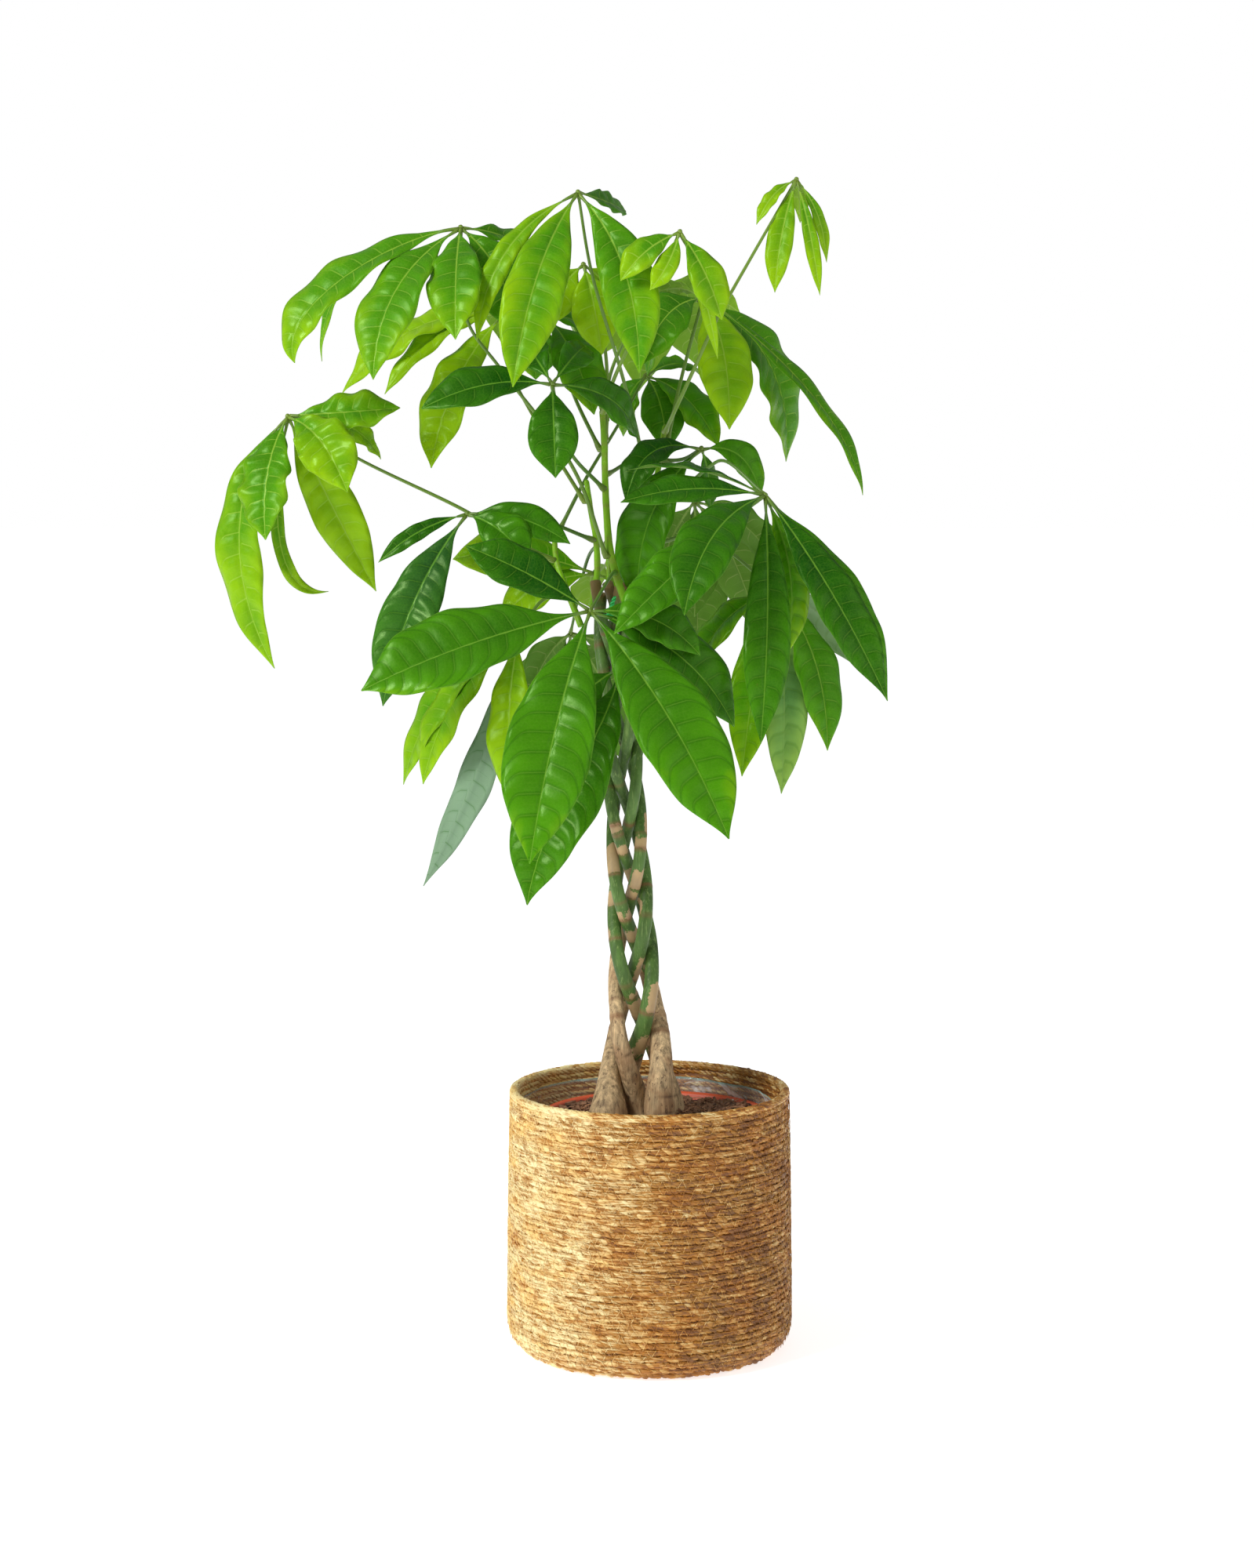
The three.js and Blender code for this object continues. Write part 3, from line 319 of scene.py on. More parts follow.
class Value:
    """A value in a node tree. What is worked out from it becomes new nodes of that tree."""

    def __init__(self, net, socket):
        self.net, self.socket = net, socket

    def maths(self, operation, other=None, clamp=False):
        """The value worked out with a second number or value."""
        return self.net.value("ShaderNodeMath", {0: self, 1: other}, operation=operation, use_clamp=clamp)

    def __add__(self, other):
        return self.maths("ADD", other)

    def __sub__(self, other):
        return self.maths("SUBTRACT", other)

    def __mul__(self, other):
        return self.maths("MULTIPLY", other)

    def __truediv__(self, other):
        return self.maths("DIVIDE", other)

    def __rsub__(self, other):
        return self.net.value("ShaderNodeMath", {0: other, 1: self}, operation="SUBTRACT")

    def between(self, low, high, to_low=0.0, to_high=1.0):
        """The value moved smoothly from one range to another."""
        sockets = {"Value": self, "From Min": low, "From Max": high, "To Min": to_low, "To Max": to_high}
        return self.net.value("ShaderNodeMapRange", sockets, "Result", interpolation_type="SMOOTHSTEP")

    def blend(self, first, second, how="MIX"):
        """The second colour laid over the first, as strongly as this value says."""
        first, second = [c if isinstance(c, Value) else (*c, 1) for c in (first, second)]
        return self.net.value("ShaderNodeMix", {0: self, 6: first, 7: second}, 2, data_type="RGBA",
                              blend_type=how)

    def ramp(self, *stops):
        """A colour from stops of (place, colour)."""
        node = self.net.add("ShaderNodeValToRGB", {"Fac": self})
        elements = node.color_ramp.elements
        while len(elements) < len(stops):
            elements.new(0.5)
        for element, (place, colour) in zip(elements, stops):
            element.position = place
            element.color = (*colour, 1)
        return Value(self.net, node.outputs["Color"])

    def grain(self, scale, detail=3, roughness=0.6, stretch=None, warp=0.0):
        """Noise at this place, stretched along an axis if asked."""
        place = self.net.value("ShaderNodeMapping", {"Vector": self, "Scale": stretch}) if stretch else self
        sockets = {"Vector": place, "Scale": scale, "Detail": detail, "Roughness": roughness,
                   "Distortion": warp}
        return self.net.value("ShaderNodeTexNoise", sockets, "Fac")

    def axis(self, number):
        """One coordinate of this place."""
        return self.net.value("ShaderNodeSeparateXYZ", {0: self}, number)

    def scaled(self, factor):
        """This vector made longer."""
        return self.net.value("ShaderNodeVectorMath", {0: self, "Scale": factor}, operation="SCALE")


class Net:
    """A node tree, and short ways to add to it."""

    def __init__(self, tree):
        self.tree = tree

    def fill(self, socket, value):
        """Joins a value to a socket, or writes a number there."""
        value = getattr(value, "socket", value)
        if isinstance(value, bpy.types.NodeSocket):
            self.tree.links.new(value, socket)
        elif value is not None:
            socket.default_value = value

    def add(self, kind, sockets=None, **settings):
        """A node with its settings made and its sockets filled."""
        node = self.tree.nodes.new(kind)
        for name, value in settings.items():
            setattr(node, name, value)
        for key, value in (sockets or {}).items():
            self.fill(node.inputs[key], value)
        return node

    def value(self, kind, sockets=None, output=0, **settings):
        """What a new node gives."""
        return Value(self, self.add(kind, sockets, **settings).outputs[output])


class Finish(Net):
    """A new material, with a place in the object and a shader."""

    def __init__(self, name):
        self.material = bpy.data.materials.new(name)
        self.material.use_nodes = True
        super().__init__(self.material.node_tree)
        self.shader = self.tree.nodes["Principled BSDF"]
        self.place = self.value("ShaderNodeTexCoord", output="Object")

    def kept(self, name):
        """The number that a mesh keeps under a name."""
        return self.value("ShaderNodeAttribute", output="Fac", attribute_name=name, attribute_type="GEOMETRY")

    def uv(self, name):
        """A place in a UV map."""
        return self.value("ShaderNodeUVMap", uv_map=name)

    def surface(self, colour, roughness, height, depth, strength=0.5, gloss=0.5, tint=None, alpha=None):
        """The material, with all this joined to its shader."""
        bump = self.value("ShaderNodeBump", {"Height": height, "Distance": depth, "Strength": strength})
        for name, value in (("Base Color", colour), ("Roughness", roughness), ("Normal", bump),
                            ("Specular IOR Level", gloss), ("Specular Tint", tint), ("Alpha", alpha)):
            self.fill(self.shader.inputs[name], value)
        return self.material


class Layout(Net):
    """A geometry tree with named inputs, which ends in one plain mesh with its finish."""

    def __init__(self, name, source, numbers):
        super().__init__(bpy.data.node_groups.new(name, "GeometryNodeTree"))
        self.offer(source, "Geometry")
        for key, value in numbers.items():
            self.offer(key, "Float" if isinstance(value, float) else "Int").default_value = value
        self.offer("Finish", "Material")
        self.offer("Pieces", "Geometry", "OUTPUT")
        self.given = {socket.name: Value(self, socket) for socket in self.add("NodeGroupInput").outputs}

    def offer(self, name, kind, side="INPUT"):
        """A named input or output of the tree."""
        return self.tree.interface.new_socket(name=name, in_out=side, socket_type=f"NodeSocket{kind}")

    def vector(self, x, y, z):
        """A vector of three numbers."""
        return self.value("ShaderNodeCombineXYZ", {"X": x, "Y": y, "Z": z})

    def chance(self, low, high, offset):
        """A number or vector drawn for each point."""
        seed = self.given["Seed"] + offset
        if isinstance(low, tuple):
            return self.value("FunctionNodeRandomValue", {"Seed": seed, 0: low, 1: high}, 0,
                              data_type="FLOAT_VECTOR")
        return self.value("FunctionNodeRandomValue", {"Seed": seed, 2: low, 3: high}, 1, data_type="FLOAT")

    def end(self, pieces, smooth):
        """The tree, with the placed pieces made one mesh and dressed in their finish."""
        real = self.value("GeometryNodeRealizeInstances", {"Geometry": pieces})
        skin = self.value("GeometryNodeSetShadeSmooth", {"Geometry": real, "Shade Smooth": smooth})
        dressed = self.value("GeometryNodeSetMaterial", {"Geometry": skin, "Material": self.given["Finish"]})
        self.add("NodeGroupOutput", {0: dressed})
        return self.tree


# ---------------------------------------------------------------- meshes


def link_object(name, data):
    """A new object in the scene."""
    thing = bpy.data.objects.new(name, data)
    bpy.context.scene.collection.objects.link(thing)
    return thing


def piece_from(name, points, faces, materials, uvs=None, numbers=None):
    """An object made of points in millimetres and faces, with UV maps and numbers kept on its points."""
    mesh = bpy.data.meshes.new(name)
    mesh.from_pydata((np.asarray(points, float) * MM).tolist(), [], [list(map(int, face)) for face in faces])
    for material in materials:
        mesh.materials.append(material)
    corner_points = np.empty(len(mesh.loops), np.int32)
    mesh.loops.foreach_get("vertex_index", corner_points)
    for uv_name, values in (uvs or {}).items():
        layer = mesh.uv_layers.new(name=uv_name)
        layer.uv.foreach_set("vector", np.asarray(values, np.float32)[corner_points].ravel())
    for number_name, values in (numbers or {}).items():
        layer = mesh.attributes.new(number_name, "FLOAT", "POINT")
        layer.data.foreach_set("value", np.asarray(values, np.float32))
    mesh.polygons.foreach_set("use_smooth", [True] * len(mesh.polygons))
    mesh.update()
    return link_object(name, mesh)


def hand_over(piece, slot, *nodes):
    """The piece rides on the plant's one body, and stands for the nodes."""
    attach(piece, "root")
    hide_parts(*nodes)


def around(count):
    """Angles evenly spread over a full turn."""
    return np.linspace(0, math.tau, count, endpoint=False)


def keyed(keys, place):
    """Values between the keys of a list of (place, value), on straight lines."""
    return np.interp(place, *np.transpose(keys))


def smooth_keyed(keys, place):
    """Values between keys on a smooth line through them."""
    xs, ys = np.array(keys, float).T
    slopes = np.gradient(ys, xs)
    place = np.clip(place, xs[0], xs[-1])
    left = np.clip(np.searchsorted(xs, place, side="right") - 1, 0, len(xs) - 2)
    width = xs[left + 1] - xs[left]
    t = (place - xs[left]) / width
    return ((2 * t**3 - 3 * t**2 + 1) * ys[left] + (t**3 - 2 * t**2 + t) * width * slopes[left]
            + (3 * t**2 - 2 * t**3) * ys[left + 1] + (t**3 - t**2) * width * slopes[left + 1])


def unit(vectors):
    """Vectors of length one."""
    return vectors / np.maximum(np.linalg.norm(vectors, axis=-1, keepdims=True), 1e-9)


def ring_faces(rings, count, closed=False):
    """Faces of a skin through rings of points, capped at both ends unless it closes on itself."""
    faces = []
    for ring in range(rings if closed else rings - 1):
        here, after = ring * count, (ring + 1) % rings * count
        for i in range(count):
            j = (i + 1) % count
            faces.append((here + i, here + j, after + j, after + i))
    if not closed:
        faces += [tuple(reversed(range(count))), tuple(range((rings - 1) * count, rings * count))]
    return faces


def poled_faces(rings, sides):
    """Faces of a skin through rings of points that draws together to a point at each end."""
    faces, last = [], rings * sides + 1
    for i in range(sides):
        j = (i + 1) % sides
        faces += [(0, 1 + j, 1 + i), (last, last - sides + i, last - sides + j)]
        for a in range(1, last - sides, sides):
            faces.append((a + i, a + j, a + sides + j, a + sides + i))
    return faces


def centripetal(points, steps):
    """Evenly stepped places on a smooth curve through points, and its length."""
    points = np.asarray(points, float)
    ends = np.vstack([2 * points[0] - points[1], points, 2 * points[-1] - points[-2]])
    found = [points[0]]
    for i in range(1, len(ends) - 2):
        p = ends[i - 1:i + 3]
        t = np.concatenate([[0], np.cumsum(np.sqrt(np.linalg.norm(np.diff(p, axis=0), axis=1)))])
        for u in np.linspace(t[1], t[2], 17)[1:]:
            a = [((t[k + 1] - u) * p[k] + (u - t[k]) * p[k + 1]) / (t[k + 1] - t[k]) for k in range(3)]
            b = [((t[k + 2] - u) * a[k] + (u - t[k]) * a[k + 1]) / (t[k + 2] - t[k]) for k in range(2)]
            found.append(((t[2] - u) * b[0] + (u - t[1]) * b[1]) / (t[2] - t[1]))
    found = np.array(found)
    run = np.concatenate([[0], np.cumsum(np.linalg.norm(np.diff(found, axis=0), axis=1))])
    even = np.linspace(0, run[-1], steps + 1)
    return np.stack([np.interp(even, run, found[:, axis]) for axis in range(3)], axis=1), run[-1]


def tube(centres, radii, sides, closed=False):
    """Points and faces of a round tube along centres, its frame carried along without twist."""
    centres = np.asarray(centres, float)
    if closed:
        along = unit(np.roll(centres, -1, 0) - np.roll(centres, 1, 0))
    else:
        along = unit(np.gradient(centres, axis=0))
    helper = np.array([0, 1.0, 0]) if abs(along[0][1]) < 0.8 else np.array([1.0, 0, 0])
    points, angle = [], around(sides)[:, None]
    for centre, direction, radius in zip(centres, along, np.broadcast_to(radii, len(centres))):
        side = unit(np.cross(helper, direction))
        helper = np.cross(direction, side)
        points.append(centre + radius * (np.cos(angle) * side + np.sin(angle) * helper))
    return np.concatenate(points), ring_faces(len(centres), sides, closed)


class Pile:
    """Points, faces and numbers of several shapes gathered into one mesh."""

    def __init__(self):
        self.points, self.faces, self.kinds, self.uvs, self.numbers = [], [], [], {}, {}
        self.count = 0

    def add(self, points, faces, uvs=None, numbers=None, kind=0):
        """Adds a shape whose faces count its own points from nought, in one of the materials."""
        self.points.append(np.asarray(points, float))
        self.faces += [tuple(i + self.count for i in face) for face in faces]
        self.kinds += [kind] * len(faces)
        self.count += len(points)
        for store, given, shape in ((self.uvs, uvs, (len(points), 2)), (self.numbers, numbers, len(points))):
            for name, values in (given or {}).items():
                store.setdefault(name, []).append(np.broadcast_to(np.asarray(values, float), shape))

    def make(self, name, materials):
        """The object."""
        uvs, numbers = [{key: np.concatenate(values) for key, values in store.items()}
                        for store in (self.uvs, self.numbers)]
        piece = piece_from(name, np.concatenate(self.points), self.faces, materials, uvs, numbers)
        piece.data.polygons.foreach_set("material_index", self.kinds)
        return piece


# ---------------------------------------------------------------- straws and chips

GUIDE_SIDES, GUIDE_RIPPLE = 72, 0.5
LENGTHS = ("Spacing", "Length", "Width", "Thickness", "Lift")


def in_metres(values):
    """A tree's values, with their lengths turned from millimetres into metres."""
    return {key: value * MM if key in LENGTHS else value for key, value in values.items()}


def straw_tree():
    """Geometry nodes that lay slanted straws, stitches or wraps along ring-shaped guides."""
    net = Layout("Laid straws", "Guides", in_metres({
        "Spacing": 4.4, "Length": 9, "Width": 3.4, "Thickness": 2.6, "Slant": 0.4, "Unevenness": 0.15,
        "Lift": 0.5, "Share": 1.0, "Zigzag": 0.0, "Sides": 6, "Seed": 1}))
    given, uneven = net.given, net.given["Unevenness"]
    curves = net.value("GeometryNodeMeshToCurve", {"Mesh": given["Guides"]})
    laid = net.add("GeometryNodeCurveToPoints", {"Curve": curves, "Length": given["Spacing"]}, mode="LENGTH")
    outward = net.value("GeometryNodeInputNamedAttribute", {"Name": "outward"}, data_type="FLOAT_VECTOR")
    facing = net.value("FunctionNodeAxesToRotation",
                       {"Primary Axis": laid.outputs["Tangent"], "Secondary Axis": outward},
                       primary_axis="X", secondary_axis="Z")
    # every other straw turns the other way, as far as the zigzag says
    parity = net.value("GeometryNodeInputIndex").maths("MODULO", 2.0)
    slant = given["Slant"] * (1.0 - parity * 2.0 * given["Zigzag"]) + net.chance(-1.0, 1.0, 3) * uneven
    tilt = net.chance(-1.0, 1.0, 4) * (uneven * 0.35)
    local = net.value("FunctionNodeEulerToRotation", {0: net.vector(0, tilt, slant)})
    rotation = net.value("FunctionNodeRotateRotation", {"Rotation": facing, "Rotate By": local},
                         rotation_space="LOCAL")
    ball = net.value("GeometryNodeMeshUVSphere", {"Segments": given["Sides"], "Rings": 5, "Radius": 0.5})
    size = net.vector(given["Width"], given["Thickness"], given["Length"])
    straw = net.value("GeometryNodeTransform", {"Geometry": ball, "Scale": size})
    lying = net.value("GeometryNodeTransform",
                      {"Geometry": straw, "Rotation": (math.pi / 2, 0, math.pi / 2)})
    spread = uneven * 1.2
    stretch = net.chance(1.0 - spread, spread + 1.0, 5)
    girth = net.chance(1.0 - uneven, uneven + 1.0, 6)
    kept = net.value("FunctionNodeCompare", {"A": net.chance(0.0, 1.0, 7), "B": given["Share"]},
                     data_type="FLOAT", operation="LESS_EQUAL")
    placed = net.value("GeometryNodeInstanceOnPoints",
                       {"Points": laid.outputs["Points"], "Selection": kept, "Instance": lying,
                        "Rotation": rotation, "Scale": net.vector(stretch, girth, girth)})
    lift = outward.scaled(net.chance(-1.0, 1.0, 8) * given["Lift"])
    moved = net.value("GeometryNodeSetPosition", {"Geometry": placed, "Offset": lift})
    toned = net.value("GeometryNodeStoreNamedAttribute",
                      {"Geometry": moved, "Name": "straw", "Value": net.chance(0.0, 1.0, 9)},
                      data_type="FLOAT", domain="INSTANCE")
    return net.end(toned, smooth=True)


def scatter_tree():
    """Geometry nodes that strew turned, flat chips over a surface where it is open."""
    net = Layout("Strewn chips", "Surface", in_metres({
        "Density": 60000.0, "Length": 6, "Width": 3, "Thickness": 1.4, "Tilt": 0.5, "Lift": 1.5,
        "Sides": 5, "Seed": 1}))
    given = net.given
    free = net.value("GeometryNodeInputNamedAttribute", {"Name": "open"}, data_type="FLOAT")
    open_here = net.value("FunctionNodeCompare", {"A": free, "B": 0.5}, data_type="FLOAT",
                          operation="GREATER_THAN")
    strewn = net.value("GeometryNodeDistributePointsOnFaces",
                       {"Mesh": given["Surface"], "Selection": open_here, "Density": given["Density"],
                        "Seed": given["Seed"]}, "Points")
    prism = net.value("GeometryNodeMeshCylinder", {"Vertices": given["Sides"], "Radius": 0.5, "Depth": 1.0},
                      "Mesh")
    size = net.vector(given["Length"], given["Width"], given["Thickness"])
    chip = net.value("GeometryNodeTransform", {"Geometry": prism, "Scale": size})
    lean = net.chance((-1, -1, 0), (1, 1, 0), 1).scaled(given["Tilt"])
    turn = net.value("ShaderNodeVectorMath", {0: lean, 1: net.chance((0, 0, 0), (0, 0, math.tau), 2)},
                     operation="ADD")
    placed = net.value("GeometryNodeInstanceOnPoints",
                       {"Points": strewn, "Instance": chip, "Rotation": turn,
                        "Scale": net.chance((0.5, 0.5, 0.6), (1.5, 1.3, 1.5), 3)})
    lift = net.chance((0, 0, -0.1), (0, 0, 1), 4).scaled(given["Lift"])
    moved = net.value("GeometryNodeSetPosition", {"Geometry": placed, "Offset": lift})
    return net.end(moved, smooth=False)


def apply_tree(name, guide, tree, values):
    """The plain mesh that a tree makes from a guide object, with the guide and the modifier gone."""
    modifier = guide.modifiers.new("Layout", "NODES")
    modifier.node_group = tree
    for item in tree.interface.items_tree:
        if item.in_out == "INPUT" and item.name in values:
            modifier[item.identifier] = values[item.name]
    graph = bpy.context.evaluated_depsgraph_get()
    mesh = bpy.data.meshes.new_from_object(guide.evaluated_get(graph), preserve_all_data_layers=True,
                                           depsgraph=graph)
    guide.modifiers.remove(modifier)
    bpy.data.objects.remove(guide)
    mesh.name = name
    return link_object(name, mesh)


def guide_rings(rings):
    """Closed rings as edges. Each is (radius, height, outward across, outward up)."""
    points, edges, outward = [], [], []
    for number, (radius, height, across, up) in enumerate(rings):
        first = len(points)
        for side in range(GUIDE_SIDES):
            angle = math.tau * (side + 0.37 * number) / GUIDE_SIDES
            c, s = math.cos(angle), math.sin(angle)
            sway = GUIDE_RIPPLE * noise.noise(Vector((c * 2.1, s * 2.1, number * 0.19)))
            points.append((radius * c, radius * s, height + sway * abs(across)))
            outward.append((across * c, across * s, up))
            edges.append((first + side, first + (side + 1) % GUIDE_SIDES))
    mesh = bpy.data.meshes.new("guide")
    mesh.from_pydata((np.array(points) * MM).tolist(), edges, [])
    layer = mesh.attributes.new("outward", "FLOAT_VECTOR", "POINT")
    layer.data.foreach_set("vector", np.array(outward, np.float32).ravel())
    return link_object("guide", mesh)


# ---------------------------------------------------------------- finishes


def shaded(colour, factor):
    """A colour made darker or lighter."""
    return [min(1, c * factor) for c in colour]


def halfway(first, second, share=0.5):
    """A colour between two."""
    return [(1 - share) * a + share * b for a, b in zip(first, second)]


def straw_finish(name, settings, shift=0.0):
    """Dry seagrass: each straw has a tone of its own, with brown patches along the rows, and painted light:
    paler at the left and darker at the right.
    """
    finish = Finish(name)
    place = finish.place
    patch = place.grain(34, stretch=(1, 1, 3.2))
    fibre = place.grain(520, stretch=(0.16, 0.16, 1.5))
    tone = finish.kept("straw") * 0.44 + (shift + 0.14) + patch.between(0.32, 0.52, -0.17, 0.04)
    # painted light and shade: paler at the left, where the key light falls, and darker towards the right
    painted_side_light = place.axis(0).between(-BASKET_RADIUS * MM, 0.5 * BASKET_RADIUS * MM, 0.42, -0.16)
    tone = (tone + fibre.between(0.34, 0.66, -0.26, 0.26)).maths("ADD", painted_side_light, clamp=True)
    dark, golden, pale = settings.dark_straw, settings.golden_straw, settings.pale_straw
    colour = tone.ramp((0.0, dark), (0.16, halfway(dark, golden)), (0.38, golden),
                       (0.66, halfway(golden, pale)), (0.92, pale))
    amber = place.grain(30, 3, 0.5, stretch=(1, 1, 2.4)).between(0.38, 0.64, 0.1, 0.78)
    return finish.surface(amber.blend(colour, (0.95, 0.73, 0.4), "MULTIPLY"), 0.5, fibre, 0.0004)


def plain_finish(name, colour, roughness, variety=0.15, scale=40, depth=0.0004):
    """One colour with slight lighter and darker patches and a fine grain."""
    finish = Finish(name)
    patch = finish.place.grain(scale, 5)
    colour = patch.ramp((0.3, shaded(colour, 1 - variety)), (0.7, shaded(colour, 1 + variety)))
    return finish.surface(colour, roughness, finish.place.grain(900, 2, 0.55), depth, 0.3)


def film_finish(settings):
    """Thin, crinkled clear film with a teal cut edge, and painted reflections on its crinkles."""
    finish = Finish("liner film")
    place = finish.place
    edge = place.axis(2).between((LINER_TOP - 3) * MM, LINER_TOP * MM)
    # painted reflection: white streaks where the film crinkles
    streak = place.grain(26, stretch=(1, 1, 2.2), warp=1.2).between(0.52, 0.68, 0.25, 2.2)
    # the painted reflection is stronger at the right, where the film lies loose
    right = place.axis(0).between(-0.01, 0.06, 0.8, 1.9)
    alpha = (edge * 0.4).maths("ADD", streak * right * settings.film_reflection_alpha, clamp=True)
    return finish.surface(edge.blend((0.98, 1.0, 0.97), (0.42, 0.68, 0.6)), 0.16,
                          place.grain(38, 3, 0.5, warp=1.8), 0.004, 0.9, alpha=alpha)


def bark_finish(settings):
    """Corky tan bark on the bulbs that turns to smooth green above, with ring scars and flecks."""
    finish = Finish("stem bark")
    place, rise = finish.place, finish.kept("rise")
    streak = place.grain(60, 5, 0.7, stretch=(5.5, 5.5, 0.45))
    fleck = place.grain(330, 3, 0.7, stretch=(1, 1, 0.5))
    blotch = place.grain(26, 4)
    tan, fresh, dark = settings.bark_colour, settings.green_colour, (0.09, 0.05, 0.03)
    bark = streak.ramp((0.36, shaded(tan, 0.45)), (0.45, shaded(tan, 0.78)), (0.53, tan),
                       (0.64, shaded(tan, 1.45)))
    bark = blotch.between(0.52, 0.64, 0.0, 0.5).blend(bark, (0.3, 0.15, 0.065))
    bark = fleck.between(0.58, 0.66, 0.0, 0.7).blend(bark, dark)
    bark = finish.kept("crack").blend(bark, dark)
    green_tone = place.grain(34, 4, stretch=(2.5, 2.5, 0.7))
    green = green_tone.ramp((0.28, shaded(fresh, 0.5)), (0.5, fresh), (0.72, shaded(fresh, 1.6)))
    fibre = place.grain(150, 4, 0.7, stretch=(4, 4, 0.18))
    green = fibre.between(0.52, 0.7, 0.0, 0.5).blend(green, (0.3, 0.42, 0.13))
    leaning = rise + blotch.between(0.3, 0.7, -0.3, 0.3)
    mixed = leaning.between(0.44, 0.54).blend(bark, green)
    # smooth tan patches with a ragged edge
    ragged = finish.kept("patch") + place.grain(190, 4, 0.65).between(0.3, 0.7, -0.32, 0.32)
    smooth_tan = ragged.between(0.44, 0.56) * rise.between(0.0, 0.6)
    warm_tan = (tan[0], tan[1] * 0.96, tan[2] * 0.86)
    skin_tone = green_tone.between(0.35, 0.65).blend(shaded(tan, 0.75), warm_tan)
    mixed = smooth_tan.blend(mixed, skin_tone)
    mixed = (finish.kept("scar") * 0.8).blend(mixed, (0.22, 0.1, 0.045))
    mixed = (finish.kept("cut") * 0.95).blend(mixed, (0.62, 0.5, 0.27))
    drying = place.axis(2).between((STEM_TOP - 16) * MM, (STEM_TOP - 4) * MM, 0.0, 0.85)
    return finish.surface(drying.blend(mixed, (0.26, 0.15, 0.06)), rise.between(0.2, 1.0, 0.72, 0.5),
                          streak * 0.7 + fleck * 0.4, 0.0009, 0.6, gloss=0.3)


def shoot_finish(settings):
    """Smooth green shoots with pale dots and brown rings where leaves fell."""
    finish = Finish("shoot skin")
    fresh = settings.shoot_colour
    tone = finish.place.grain(45, 4, stretch=(2, 2, 0.5))
    colour = tone.ramp((0.28, shaded(fresh, 0.6)), (0.55, fresh), (0.75, shaded(fresh, 1.3)))
    dots = finish.place.grain(420, 2, 0.5).between(0.64, 0.7, 0.0, 0.3)
    colour = dots.blend(colour, (0.42, 0.5, 0.12))
    colour = (finish.kept("scar") * 0.6).blend(colour, (0.24, 0.2, 0.05))
    return finish.surface(colour, 0.45, tone, 0.0006, 0.35, gloss=0.3)


def stalk_finish():
    """Leaf stalks, yellower on young leaves, browner at their swollen ends."""
    finish = Finish("leaf stalk")
    colour = finish.kept("age").ramp((0.0, (0.17, 0.29, 0.025)), (0.4, (0.11, 0.23, 0.02)),
                                     (1.0, (0.05, 0.15, 0.01)))
    tone = finish.place.grain(60)
    colour = tone.between(0.35, 0.7, 0.0, 0.35).blend(colour, (0.1, 0.2, 0.012))
    colour = (finish.kept("knuckle") * 0.4).blend(colour, (0.22, 0.26, 0.03))
    return finish.surface(colour, 0.42, tone, 0.0003, 0.3)


